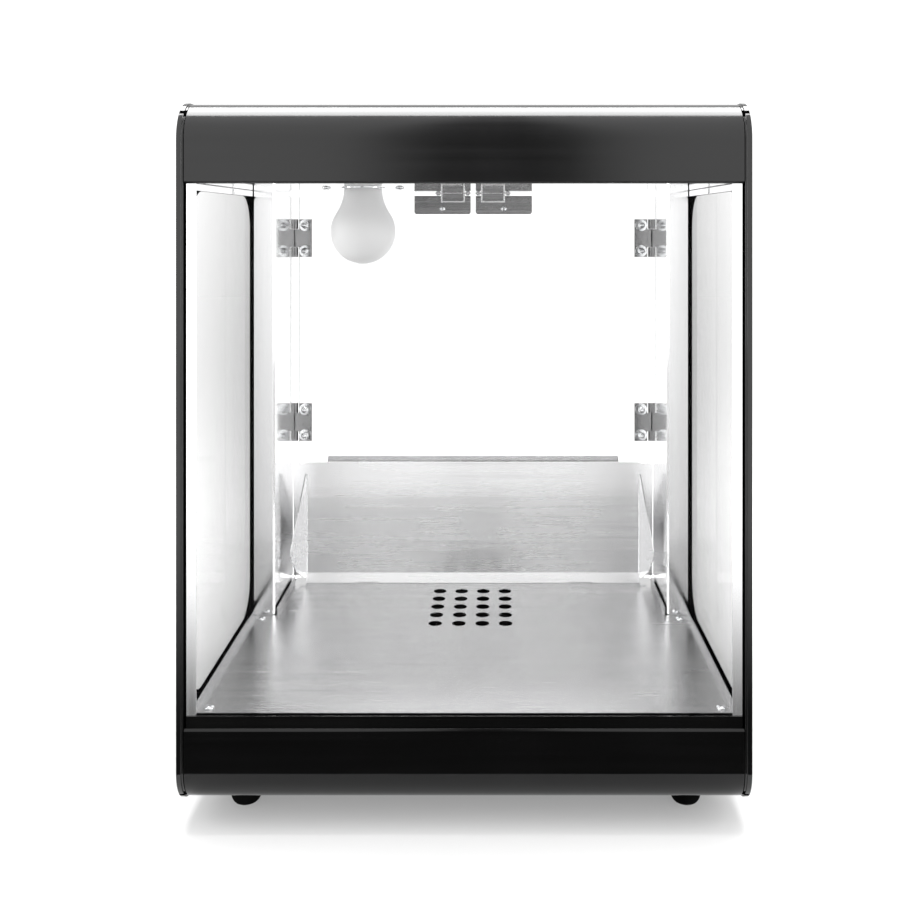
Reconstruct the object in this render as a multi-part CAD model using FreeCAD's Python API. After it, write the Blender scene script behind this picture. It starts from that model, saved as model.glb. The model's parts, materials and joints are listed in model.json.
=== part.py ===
import FreeCAD, Part
import math
import os

from FreeCAD import Vector

# Chip warmer: a glazed cabinet between two side frames, with a hood, a base and rear doors.
# X runs to the right, Y from the front to the rear, Z up. All lengths are in millimetres.
# The origin is at the middle of the footprint, on the surface that the feet stand on.
# Places along the depth are named by their distance behind the front of the side frames.

# Driving dimensions
width = 460.0
depth = 376.0
height = 588.0
ground_clearance = 19.0
corner_radius = 32.0
black_sheet = 1.2
steel_sheet = 1.0
overrun = 2.0

# Facets of the rounded forms, from shanks and heads of screws up to the lamp and the fan
shank_sides = 6
head_sides = 8
air_hole_sides = 8
disc_sides = 12
shaft_sides = 16
round_sides = 24
least_arc_radius = 6.0
chamfer_share = 0.6

# Side frames and their windows
rim_thick = 4.0
plinth_thick = 1.5
plinth_inset = 1.2
rim_width = 5.0
border_thick = 1.3
window_front = 26.0
window_column_gap = 0.7
window_bottom = 95.0
window_drop = 72.0
window_radius = 32.0
side_glass_thick = 4.0
side_glass_gap = 0.4

# Shells between the side frames
shell_inset = 1.0
shell_end_gap = 0.5
bend_radius = 1.6

# Hood
visor_lip = 3.6
hood_lap = 14.0
hood_joggle = 2.0
visor_reach = 98.0
header_reach = 98.0
cover_gap = 0.6
header_lip = 9.4
header_seat_gap = 0.2
header_slope_run = 8.0
header_slope_drop = 7.0
header_bend = 5.0
louvre_length = 30.0
louvre_width = 4.0
louvre_pitch = 12.0
louvre_count = 5
louvre_centre_x = 60.0

# Soffit
soffit_drop = 66.0
soffit_front = 11.0
soffit_upturn = 13.0
soffit_flange = 6.0
soffit_rear_margin = 22.0
inner_gap = 1.6

# Base
base_height = 85.0
fascia_lip = 2.5
fascia_flange = 39.0
pan_gap = 0.4
pan_front = 16.0
pan_toe_depth = 34.0
pan_toe_height = 56.0
pan_lip = 20.0
pan_rear_margin = 21.0
rear_panel_margin = 20.0
rear_panel_lip = 9.6
rear_panel_flange = 26.0
rear_panel_gap = 1.6

# Front sill, posts and pane
sill_front = 3.7
sill_top = 94.2
sill_rear_top = 92.5
sill_floor = 80.0
sill_depth = 10.0
sill_bend = 1.3
post_front = 5.0
post_flange = 9.2
post_side = 27.0
post_thick = 1.0
post_gap = 0.3
post_drop = 48.0
pane_gap = 0.2
pane_thick = 4.0
pane_drop = 54.0

# Tray
tray_top = 89.0
tray_front = 14.2
tray_side_gap = 3.5
tray_column_gap = 1.5
tray_step_gap = 0.4
tray_rim = 10.0
tray_rim_thick = 1.0
tray_front_rim = 3.2
tray_rim_gap = 2.0
air_hole_radius = 6.9
air_hole_pitch = 23.45
air_hole_columns = 4
air_hole_rows = 5
air_field_set_back = 25.0
tray_screw_inset = 9.8
tray_screw_front = 30.0
tray_screw_set_back = 9.6

# Rear columns
column_depth = 107.2
column_rear_margin = 29.8
column_inset = 24.5
column_side_gap = 3.3
column_bend = 2.0

# Doors
door_joint = 3.0
door_side_gap = 4.8
door_bottom = 97.0
door_top_gap = 2.7
door_thick = 4.0
door_corner = 3.0

# Hinges
hinge_height = 42.3
hinge_drop = 50.0
hinge_bottom_z = 266.0
hinge_axis_inset = 1.6
leaf_thick = 1.2
barrel_radius = 2.4
pin_radius = 1.25
pin_clearance = 0.04
door_knuckle = 20.0
knuckle_gap = 0.35
door_leaf_reach = 17.9
door_leaf_start = 3.7
frame_leaf_start = 3.8
frame_leaf_reach = 17.1
hinge_bolt_reach = 10.4
hinge_bolt_spread = 28.8
hinge_screw_reach = 10.6
bolt_radius = 2.0
bolt_clearance = 0.3
washer_radius = 6.75
washer_thick = 1.0
nut_flats = 7.0
nut_hex_height = 3.2
nut_height = 8.0
nut_dome_radius = 3.4
nut_dome_shares = ((1.0, 0.0), (0.6, 1.0))
bolt_head_radius = 3.8
bolt_head_height = 2.4

# Catches
catch_plate_inner = 2.8
catch_plate_outer = 65.8
catch_plate_height = 20.5
catch_plate_corner = 3.0
catch_screw_x = 34.3
catch_screw_drop = 14.7
catch_screw_head_radius = 3.6
catch_screw_head_height = 1.4
magnet_inner = 9.0
magnet_outer = 35.4
magnet_height = 10.4
magnet_depth = 12.4
magnet_clearance = 0.5
magnet_frame = 1.6
magnet_recess = 0.6

# Guard
guard_door_gap = 6.2
guard_side_gap = 14.5
guard_top = 222.8
guard_kick_height = 11.0
guard_kick_run = 2.2
guard_foot_gap = 0.4
guard_lip_inset = 23.5
guard_lip_rise = 5.2
guard_lip_run = 4.8
guard_lip_corner = 3.0
guard_bend = 2.0
wing_top = 210.0
wing_upper = 138.0
wing_lower = 131.7
wing_heel = 111.5
wing_foot = 98.0
wing_reach = 48.0
wing_heel_reach = 33.0
wing_foot_reach = 11.0
wing_flare = 9.0
wing_root = 3.0
ear_drop = 1.3
ear_side_gap = 1.6
ear_corner = 3.0
tab_inner = 104.5
tab_outer = 132.0
tab_length = 6.0
tab_slot_gap = 0.4

# Lamp
bulb_x = 98.0
bulb_depth = 142.0
bulb_radius = 30.0
bulb_drop = 40.9
bulb_neck_radius = 17.3
bulb_shoulder_radius = 45.0
bulb_neck_rise = 4.0
bulb_collar_radius = 13.0
bulb_collar_rise = 10.0
bulb_ball_steps = 6
bulb_shoulder_steps = 2
bulb_pole_angle = 76.0
cap_radius = 13.2
cap_length = 18.0
cap_tip_radius = 5.0
cap_tip_height = 4.0
soffit_hole_radius = 18.9
ring_outer_radius = 20.0
ring_thick = 0.8
holder_radius = 20.0
holder_gap = 0.4
holder_rise = 0.2
holder_bore_depth = 23.3
holder_height = 39.8
holder_chamfer = 3.0
strap_width = 24.0
strap_half = 26.0
strap_foot = 16.0
strap_thick = 1.5
strap_bend = 3.0
lamp_screw_spread = 68.0
pan_head_radius = 4.1
pan_head_height = 2.3
lamp_screw_length = 6.0

# Screws of the tray, the cover and the hinges
tray_screw_length = 7.0
cover_screw_inset = 44.0
cover_screw_head = 0.9
cover_screw_length = 6.0
screw_radius = 1.9
screw_clearance = 0.3
hinge_screw_length = 6.0
head_crown_share = 0.72

# Feet
foot_inset = 44.0
foot_front = 55.0
foot_rear_margin = 58.0
foot_radius = 13.3
foot_profile_shares = ((0.68, 0.0), (1.0, 0.36), (1.0, 1.0))
foot_well_radius = 5.0
foot_well_depth = 7.0
foot_screw_rise = 6.0
foot_screw_head = 3.0
foot_screw_head_radius = 4.2
foot_screw_radius = 2.4

# Fan
fan_size = 92.0
fan_height = 25.0
fan_bore_radius = 43.0
fan_corner = 5.0
fan_hole_spread = 82.5
fan_hole_radius = 2.2
fan_spoke_width = 4.0
fan_spoke_height = 3.0
stator_radius = 14.5
stator_height = 13.0
bearing_radius = 3.5
bearing_height = 19.0
spindle_radius = 1.5
spindle_clearance = 0.04
rotor_lift = 5.0
hub_radius = 18.0
hub_wall = 1.8
hub_height = 18.0
blade_tip_gap = 1.4
blade_count = 5
blade_thick = 1.4
blade_chord = 24.0
blade_sink = 0.8
blade_angle = 38.0
vent_slot_count = 7
vent_slot_pitch = 11.0
vent_slot_width = 5.0
vent_web_width = 6.0

# Air duct and heating element
duct_half_x = 48.0
duct_half_y = 58.0
duct_thick = 1.0
element_radius = 3.2
element_pitch = 20.0
element_passes = 4
element_half = 26.0
element_z = 68.0
element_leg = 12.0
element_hole_gap = 0.4
element_turn_steps = 3

# Controls on the rear panel
control_z = 55.0
knob_x = -60.0
knob_radius = 17.0
knob_top_radius = 15.0
knob_height = 14.5
knob_gap = 0.8
knob_skirt_height = 3.0
knob_grip_width = 5.0
knob_grip_height = 2.0
knob_grip_margin = 2.4
knob_grip_round = 2.0
shaft_radius = 3.0
shaft_hole_gap = 0.5
shaft_sink = 14.0
shaft_in_knob = 9.0
thermostat_width = 38.0
thermostat_height = 32.0
thermostat_depth = 22.0
thermostat_bushing_radius = 5.0
thermostat_bushing_length = 0.7
heat_switch_x = 10.0
light_switch_x = 52.0
bezel_width = 30.0
bezel_height = 25.0
bezel_flange = 2.0
bezel_corner = 2.0
bezel_body_width = 27.0
bezel_body_height = 22.0
bezel_body_depth = 18.0
cutout_gap = 0.3
well_width = 23.4
well_height = 18.6
well_depth = 8.0
rocker_width = 22.4
rocker_half_height = 8.0
rocker_tip = 4.0
rocker_middle = 2.6
rocker_back = 3.4
rocker_pivot_sink = 1.6
rocker_tilt = 8.0
trunnion_radius = 1.5
trunnion_clearance = 0.04
trunnion_length = 1.2
trunnion_end_gap = 0.3
inlet_inset = 80.0
inlet_width = 31.0
inlet_height = 24.0
inlet_flange = 2.5
inlet_body_width = 27.5
inlet_body_height = 20.5
inlet_body_depth = 20.0
inlet_well_width = 24.4
inlet_well_height = 16.4
inlet_well_depth = 14.0
inlet_bevel = 5.0
inlet_pin_width = 2.0
inlet_pin_height = 4.0
inlet_pin_length = 11.0
inlet_pin_spread = 7.0
inlet_pin_rise = 2.0
terminal_inset = 100.0
terminal_margin = 66.0
terminal_width = 52.0
terminal_height = 16.0
terminal_base = 20.0
terminal_pole_count = 5
terminal_pole_width = 8.0
terminal_step = 5.0
terminal_screw_radius = 2.4
terminal_screw_sink = 1.5

# Levels and planes worked out from the sizes above
half_width = width / 2
side_inner = half_width - rim_thick - plinth_thick
shell_half = side_inner - shell_end_gap
inner_half = side_inner - inner_gap
shell_bottom = ground_clearance + shell_inset
shell_top = height - shell_inset
shell_bend = corner_radius - shell_inset
pan_bottom = shell_bottom + black_sheet
pan_floor = pan_bottom + black_sheet
pan_half = inner_half
soffit_z = height - soffit_drop
soffit_rear = depth - soffit_rear_margin
window_top = height - window_drop
visor_bottom = soffit_z - black_sheet
header_bottom = soffit_z + steel_sheet + header_seat_gap
tray_under = tray_top - steel_sheet
pan_lip_top = tray_under
door_top = soffit_z - door_top_gap
column_rear = depth - column_rear_margin
leaf_front = column_rear
leaf_back = leaf_front + leaf_thick
door_back = leaf_back + door_thick
hinge_axis_depth = leaf_front + barrel_radius
fan_top = pan_floor + fan_height

# Places across the width
column_inner = side_inner - column_inset
column_front_outer = side_inner - column_side_gap
tray_front_half = side_inner - tray_side_gap
tray_rear_half = column_inner - tray_column_gap
tray_screw_x = tray_front_half - tray_screw_inset
door_outer = column_inner - door_side_gap
hinge_axis_x = column_inner - hinge_axis_inset
door_leaf_inner = hinge_axis_x - door_leaf_reach
door_leaf_outer = hinge_axis_x - door_leaf_start
frame_leaf_inner = hinge_axis_x + frame_leaf_start
frame_leaf_outer = hinge_axis_x + frame_leaf_reach
hinge_bolt_x = hinge_axis_x - hinge_bolt_reach
hinge_screw_x = hinge_axis_x + hinge_screw_reach
guard_half = column_inner - guard_side_gap
guard_lip_half = guard_half - guard_lip_inset
ear_outer = column_inner - ear_side_gap
cover_screw_x = half_width - cover_screw_inset
foot_x = half_width - foot_inset
inlet_x = -(half_width - inlet_inset)
terminal_x = half_width - terminal_inset

# Places along the depth
column_front = column_rear - column_depth
window_rear = column_front + window_column_gap
rear_panel_depth = depth - rear_panel_margin
tray_step = column_front - tray_step_gap
tray_screw_rear = tray_step - tray_screw_set_back
air_field_centre = column_front + air_field_set_back
guard_plane = column_rear - guard_door_gap
tray_rim_end = guard_plane - tray_rim_gap
foot_rear = depth - foot_rear_margin
terminal_depth = rear_panel_depth - terminal_margin

# Levels under the top and around the soffit
post_top = height - post_drop
pane_top = height - pane_drop
hinge_top_z = soffit_z - hinge_drop
bulb_centre_z = soffit_z - bulb_drop
bulb_neck_top = soffit_z + bulb_neck_rise
bulb_collar_top = soffit_z + bulb_collar_rise
holder_bottom = bulb_collar_top + holder_rise
holder_floor = holder_bottom + holder_bore_depth
holder_top = holder_bottom + holder_height


def back(distance):
    """Y of a place that lies so far behind the front of the side frames."""
    return distance - depth / 2


def box(x0, x1, y0, y1, z0, z1):
    """A block between two corners."""
    return Part.makeBox(x1 - x0, y1 - y0, z1 - z0, Vector(x0, y0, z0))


def ring(radius, level, sides):
    """Corners of a many-sided round outline around the vertical axis."""
    turns = [math.tau * (index + 0.5) / sides for index in range(sides)]
    return [Vector(radius * math.cos(turn), radius * math.sin(turn), level) for turn in turns]


def face(points):
    """Flat face between corners."""
    return Part.Face(Part.makePolygon(points + [points[0]]))


def rod(radius, start, direction, length, sides=shank_sides):
    """A many-sided round bar from a point along a direction."""
    bar = face(ring(radius, 0, sides)).extrude(Vector(0, 0, length))
    bar.Placement = FreeCAD.Placement(start, FreeCAD.Rotation(Vector(0, 0, 1), direction))
    return bar


def round_pin(radius, start, direction, length):
    """A truly round pin from a point along a direction."""
    return Part.makeCylinder(radius, length, start, direction)


def running_bore(radius, clearance, sides):
    """Corner radius of a many-sided bore whose flats clear a turning bar."""
    return (radius + clearance) / math.cos(math.pi / sides)


def stack(rings, centre, direction=Vector(0, 0, 1), sides=round_sides):
    """A round form through rings of (radius, level), closed with flat facets between them."""
    outlines = [ring(radius, level, sides) for radius, level in rings]
    faces = [face(outlines[0]), face(outlines[-1])]
    for low, high in zip(outlines, outlines[1:]):
        for index in range(sides):
            after = (index + 1) % sides
            faces.append(face([low[index], low[after], high[after], high[index]]))
    solid = Part.makeSolid(Part.makeShell(faces))
    if solid.Volume < 0:
        solid.reverse()
    solid.Placement = FreeCAD.Placement(centre, FreeCAD.Rotation(Vector(0, 0, 1), direction))
    return solid


def mirrored(shape):
    """The same piece on the other side of the cabinet."""
    return shape.mirror(Vector(0, 0, 0), Vector(1, 0, 0))


def fused(shapes):
    """One solid from pieces that meet."""
    return shapes[0].multiFuse(shapes[1:]).removeSplitter()


def group(shapes):
    """Separate solids kept in one file."""
    return Part.makeCompound(shapes)


def in_plan(point):
    """A flat point as a place in a level plane."""
    return Vector(point[0], point[1], 0)


def in_side_view(point):
    """A flat point as a place in the plane of the side view."""
    return Vector(0, point[0], point[1])


def in_front_view(point):
    """A flat point as a place in the plane of the front view."""
    return Vector(point[0], 0, point[1])


def heading(start, end):
    """Unit direction between two flat points."""
    run = end[0] - start[0]
    rise = end[1] - start[1]
    length = math.hypot(run, rise)
    return run / length, rise / length


def side_step(points, gap):
    """A flat path moved to its left by the gap, with mitred corners."""
    moved = []
    last = len(points) - 1
    for index, point in enumerate(points):
        before = heading(points[index - 1], point) if index > 0 else None
        after = heading(point, points[index + 1]) if index < last else None
        before = before or after
        after = after or before
        spread = 1 + before[0] * after[0] + before[1] * after[1]
        shift_x = -(before[1] + after[1]) / spread
        shift_y = (before[0] + after[0]) / spread
        moved.append((point[0] + gap * shift_x, point[1] + gap * shift_y))
    return moved


def rounded_edges(points, radii, place):
    """Edges along a flat path, with an arc at each large corner and a flat across each small one."""
    edges = []
    start = points[0]
    for index in range(1, len(points) - 1):
        corner = points[index]
        radius = radii[index - 1]
        before = heading(points[index - 1], corner)
        after = heading(corner, points[index + 1])
        cross = before[0] * after[1] - before[1] * after[0]
        turn = math.atan2(cross, before[0] * after[0] + before[1] * after[1])
        reach = radius * math.tan(abs(turn) / 2)
        arc_start = (corner[0] - before[0] * reach, corner[1] - before[1] * reach)
        arc_end = (corner[0] + after[0] * reach, corner[1] + after[1] * reach)
        side = math.copysign(1, cross)
        centre = (arc_start[0] - before[1] * radius * side, arc_start[1] + before[0] * radius * side)
        outward = heading(centre, corner)
        arc_middle = (centre[0] + outward[0] * radius, centre[1] + outward[1] * radius)
        edges.append(Part.LineSegment(place(start), place(arc_start)).toShape())
        if radius < least_arc_radius:
            edges.append(Part.LineSegment(place(arc_start), place(arc_end)).toShape())
        else:
            edges.append(Part.Arc(place(arc_start), place(arc_middle), place(arc_end)).toShape())
        start = arc_end
    edges.append(Part.LineSegment(place(start), place(points[-1])).toShape())
    return edges


def bent_strip(points, radii, thick, place, travel):
    """A folded sheet: a flat path, thickened to its left, drawn along the travel."""
    far_points = side_step(points, thick)
    far_radii = []
    for index, radius in enumerate(radii):
        before = heading(points[index], points[index + 1])
        after = heading(points[index + 1], points[index + 2])
        side = math.copysign(1, before[0] * after[1] - before[1] * after[0])
        far_radii.append(radius - thick * side)
    near_edges = rounded_edges(points, radii, place)
    far_edges = rounded_edges(far_points, far_radii, place)
    far_end = Part.LineSegment(place(points[-1]), place(far_points[-1])).toShape()
    near_end = Part.LineSegment(place(points[0]), place(far_points[0])).toShape()
    wire = Part.Wire(Part.__sortEdges__(near_edges + far_edges + [far_end, near_end]))
    return Part.Face(wire).extrude(travel)


def prism(points, place, travel):
    """A straight-edged outline drawn along the travel."""
    wire = Part.makePolygon([place(point) for point in points + [points[0]]])
    return Part.Face(wire).extrude(travel)


def rounded_block(x0, x1, y0, y1, z0, z1, radius, axis):
    """A block whose edges along one axis are rounded, or bevelled where the radius is small."""
    block = box(x0, x1, y0, y1, z0, z1)
    along = []
    for edge in block.Edges:
        span = edge.Vertexes[1].Point - edge.Vertexes[0].Point
        if abs(span.dot(axis)) > span.Length / 2:
            along.append(edge)
    if radius < least_arc_radius:
        return block.makeChamfer(radius * chamfer_share, along)
    return block.makeFillet(radius, along)


def frame_outline(inset, x0, x1):
    """The outline of a side frame, drawn in by the inset, between two planes."""
    return rounded_block(
        x0, x1,
        back(inset), back(depth - inset),
        ground_clearance + inset, height - inset,
        corner_radius - inset, Vector(1, 0, 0),
    )


def pan_head(point, direction, head_radius, head_height, shank_radius, shank_length):
    """A screw with a bevelled head; the head stands against the direction of its shank."""
    rings = [(head_radius, 0), (head_radius * head_crown_share, head_height)]
    head = stack(rings, Vector(0, 0, 0), sides=head_sides)
    shank = rod(shank_radius, Vector(0, 0, -shank_length), Vector(0, 0, 1), shank_length)
    screw = fused([head, shank])
    screw.Placement = FreeCAD.Placement(point, FreeCAD.Rotation(Vector(0, 0, -1), direction))
    return screw


def side_frame():
    """Right side frame: a rimmed panel with a recess for its glass and a round-cornered window."""
    rim = frame_outline(0, half_width - rim_thick, half_width)
    plinth = frame_outline(plinth_inset, side_inner, half_width - rim_thick)
    recess = frame_outline(rim_width, side_inner + border_thick, half_width + overrun)
    window = rounded_block(
        side_inner - overrun, half_width,
        back(window_front), back(window_rear), window_bottom, window_top,
        window_radius, Vector(1, 0, 0),
    )
    return rim.fuse(plinth).removeSplitter().cut(recess).cut(window)


def side_glass():
    """Right side glass, flush in the recess of its frame."""
    inner = side_inner + border_thick
    return frame_outline(rim_width + side_glass_gap, inner, inner + side_glass_thick)


def visor():
    """Curved front of the hood, with a lip below and a joggled lap behind."""
    path = [
        (back(shell_inset + visor_lip), visor_bottom),
        (back(shell_inset), visor_bottom),
        (back(shell_inset), shell_top),
        (back(visor_reach), shell_top),
        (back(visor_reach + hood_joggle), shell_top - black_sheet),
        (back(visor_reach + hood_joggle + hood_lap), shell_top - black_sheet),
    ]
    radii = [bend_radius, shell_bend, bend_radius, bend_radius]
    shell = bent_strip(path, radii, -black_sheet, in_side_view, Vector(shell_half * 2, 0, 0))
    shell.translate(Vector(-shell_half, 0, 0))
    return shell.cut(group(cover_screw_holes()))


def rear_header():
    """Rear of the hood, with the same lap, a sloped shoulder and a lip on the soffit."""
    lap_start = depth - header_reach - hood_joggle - hood_lap
    path = [
        (back(lap_start), shell_top - black_sheet),
        (back(lap_start + hood_lap), shell_top - black_sheet),
        (back(lap_start + hood_lap + hood_joggle), shell_top),
        (back(rear_panel_depth - header_slope_run), shell_top),
        (back(rear_panel_depth), shell_top - header_slope_drop),
        (back(rear_panel_depth), header_bottom),
        (back(rear_panel_depth - header_lip), header_bottom),
    ]
    radii = [bend_radius, bend_radius, header_bend, header_bend, bend_radius]
    shell = bent_strip(path, radii, -black_sheet, in_side_view, Vector(shell_half * 2, 0, 0))
    shell.translate(Vector(-shell_half, 0, 0))
    return shell.cut(group(cover_screw_holes()))


def cover_screw_places():
    """The four places where the cover is screwed to the laps."""
    front = back(visor_reach + hood_joggle + hood_lap / 2)
    rear = back(depth - header_reach - hood_joggle - hood_lap / 2)
    return [(x, y) for x in (-cover_screw_x, cover_screw_x) for y in (front, rear)]


def cover_screw_holes():
    """Holes for the cover screws through both sheets."""
    radius = screw_radius + screw_clearance
    start = shell_top - black_sheet * 2 - overrun
    length = black_sheet * 2 + overrun * 2
    return [rod(radius, Vector(x, y, start), Vector(0, 0, 1), length) for x, y in cover_screw_places()]


def top_cover():
    """Flat lid on the two laps, with two rows of vent slots."""
    front = visor_reach + hood_joggle + cover_gap
    rear = depth - header_reach - hood_joggle - cover_gap
    cover = box(-shell_half, shell_half, back(front), back(rear), shell_top - black_sheet, shell_top)
    cuts = cover_screw_holes()
    middle = back((front + rear) / 2)
    for side in (-1, 1):
        for index in range(louvre_count):
            offset = (index - (louvre_count - 1) / 2) * louvre_pitch
            centre = side * louvre_centre_x
            cuts.append(box(
                centre - louvre_length / 2, centre + louvre_length / 2,
                middle + offset - louvre_width / 2, middle + offset + louvre_width / 2,
                shell_top - black_sheet - overrun, shell_top + overrun,
            ))
    return cover.cut(group(cuts))


def cover_screws():
    """Low-headed screws of the cover."""
    screws = []
    for x, y in cover_screw_places():
        screws.append(pan_head(
            Vector(x, y, shell_top), Vector(0, 0, -1),
            pan_head_radius, cover_screw_head, screw_radius, cover_screw_length,
        ))
    return group(screws)


def soffit():
    """Polished ceiling, turned up at the front and down along both windows."""
    lower = soffit_z - soffit_flange
    span = [
        (-inner_half, lower),
        (-inner_half, soffit_z + steel_sheet),
        (inner_half, soffit_z + steel_sheet),
        (inner_half, lower),
    ]
    length = soffit_rear - soffit_front
    plate = bent_strip(span, [bend_radius, bend_radius], -steel_sheet, in_front_view, Vector(0, length, 0))
    plate.translate(Vector(0, back(soffit_front), 0))
    behind = box(
        -half_width, half_width, back(column_front - inner_gap), back(depth),
        lower - overrun, soffit_z,
    )
    front_fold = box(
        -inner_half, inner_half, back(soffit_front), back(soffit_front + steel_sheet),
        soffit_z, soffit_z + soffit_upturn,
    )
    holes = [rod(
        soffit_hole_radius, Vector(-bulb_x, back(bulb_depth), soffit_z - overrun),
        Vector(0, 0, 1), steel_sheet + overrun * 2, round_sides,
    )]
    for x in lamp_screw_places():
        holes.append(rod(
            screw_radius + screw_clearance, Vector(x, back(bulb_depth), soffit_z - overrun),
            Vector(0, 0, 1), steel_sheet + overrun * 2,
        ))
    return fused([plate.cut(behind), front_fold]).cut(group(holes))


def lamp_screw_places():
    """X of the two screws beside the lamp."""
    return [-bulb_x - lamp_screw_spread / 2, -bulb_x + lamp_screw_spread / 2]


def bulb():
    """Frosted bulb: a ball that runs into a waisted neck."""
    reach = bulb_radius + bulb_shoulder_radius
    across = bulb_neck_radius + bulb_shoulder_radius
    join_angle = math.acos(across / reach)
    waist_z = bulb_centre_z + reach * math.sin(join_angle)
    rings = []
    low_angle = -math.radians(bulb_pole_angle)
    for step in range(bulb_ball_steps + 1):
        angle = low_angle + (join_angle - low_angle) * step / bulb_ball_steps
        rings.append((bulb_radius * math.cos(angle), bulb_centre_z + bulb_radius * math.sin(angle)))
    for step in range(1, bulb_shoulder_steps + 1):
        angle = join_angle * (1 - step / bulb_shoulder_steps)
        rings.append((
            across - bulb_shoulder_radius * math.cos(angle),
            waist_z - bulb_shoulder_radius * math.sin(angle),
        ))
    rings.append((bulb_neck_radius, bulb_neck_top))
    rings.append((bulb_collar_radius, bulb_collar_top))
    return stack(rings, Vector(-bulb_x, back(bulb_depth), 0))


def bulb_cap():
    """Screw cap of the bulb, with the contact on top."""
    centre = Vector(-bulb_x, back(bulb_depth), 0)
    top = bulb_collar_top + cap_length
    return stack([
        (cap_radius, bulb_collar_top), (cap_radius, top), (cap_tip_radius, top + cap_tip_height),
    ], centre, sides=shaft_sides)


def lamp_holder():
    """Ceramic holder: a cup over the screw cap."""
    centre = Vector(-bulb_x, back(bulb_depth), 0)
    body = stack([
        (holder_radius - holder_chamfer, holder_bottom),
        (holder_radius, holder_bottom + holder_chamfer),
        (holder_radius, holder_floor),
        (holder_radius - holder_chamfer, holder_top),
    ], centre, sides=shaft_sides)
    bore = rod(
        cap_radius + holder_gap, centre + Vector(0, 0, holder_bottom - overrun), Vector(0, 0, 1),
        holder_floor - holder_bottom + overrun, shaft_sides,
    )
    return body.cut(bore)


def lamp_bracket():
    """Steel strap that carries the lamp holder above the soffit."""
    foot_z = soffit_z + steel_sheet
    top_z = holder_top + strap_thick
    path = [
        (-bulb_x - strap_half - strap_foot, foot_z),
        (-bulb_x - strap_half, foot_z),
        (-bulb_x - strap_half, top_z - strap_thick),
        (-bulb_x + strap_half, top_z - strap_thick),
        (-bulb_x + strap_half, foot_z),
        (-bulb_x + strap_half + strap_foot, foot_z),
    ]
    radii = [strap_bend + strap_thick, strap_bend, strap_bend, strap_bend + strap_thick]
    strap = bent_strip(path, radii, strap_thick, in_front_view, Vector(0, strap_width, 0))
    strap.translate(Vector(0, back(bulb_depth) - strap_width / 2, 0))
    holes = []
    for x in lamp_screw_places():
        holes.append(rod(
            screw_radius + screw_clearance, Vector(x, back(bulb_depth), foot_z - overrun),
            Vector(0, 0, 1), strap_thick + overrun * 2,
        ))
    return strap.cut(group(holes))


def lamp_ring():
    """Thin ring under the hole that the bulb hangs through."""
    start = Vector(-bulb_x, back(bulb_depth), soffit_z - ring_thick)
    disc = rod(ring_outer_radius, start, Vector(0, 0, 1), ring_thick, shaft_sides)
    bore = rod(
        running_bore(bulb_neck_radius, holder_gap, shaft_sides), start, Vector(0, 0, 1),
        ring_thick, shaft_sides,
    )
    return disc.cut(bore)


def soffit_screws():
    """Pan-head screws that hold the lamp bracket through the soffit."""
    screws = []
    for x in lamp_screw_places():
        screws.append(pan_head(
            Vector(x, back(bulb_depth), soffit_z), Vector(0, 0, 1),
            pan_head_radius, pan_head_height, screw_radius, lamp_screw_length,
        ))
    return group(screws)


def front_fascia():
    """Curved front of the base."""
    path = [
        (back(shell_inset + fascia_lip), base_height),
        (back(shell_inset), base_height),
        (back(shell_inset), shell_bottom),
        (back(fascia_flange), shell_bottom),
    ]
    shell = bent_strip(
        path, [bend_radius, shell_bend], black_sheet, in_side_view, Vector(shell_half * 2, 0, 0))
    shell.translate(Vector(-shell_half, 0, 0))
    return shell


def front_sill():
    """Channel that the front pane stands in."""
    path = [
        (back(sill_front), sill_top),
        (back(sill_front), sill_floor),
        (back(sill_front + sill_depth), sill_floor),
        (back(sill_front + sill_depth), sill_rear_top),
    ]
    channel = bent_strip(
        path, [sill_bend, sill_bend], black_sheet, in_side_view, Vector(inner_half * 2, 0, 0))
    channel.translate(Vector(-inner_half, 0, 0))
    return channel


def front_post():
    """Right front post: a folded strip that holds the edge of the pane."""
    outer = side_inner - post_gap
    path = [
        (outer - post_flange, back(post_front)),
        (outer, back(post_front)),
        (outer, back(post_front + post_side)),
    ]
    bottom = sill_floor + black_sheet
    post = bent_strip(path, [post_thick + pane_gap], post_thick, in_plan, Vector(0, 0, post_top - bottom))
    post.translate(Vector(0, 0, bottom))
    return post


def front_glass():
    """Front pane, from the sill up into the hood."""
    near = post_front + post_thick + pane_gap
    half = side_inner - post_gap - post_thick - pane_gap
    bottom = sill_floor + black_sheet
    return box(-half, half, back(near), back(near + pane_thick), bottom, pane_top)


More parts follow.
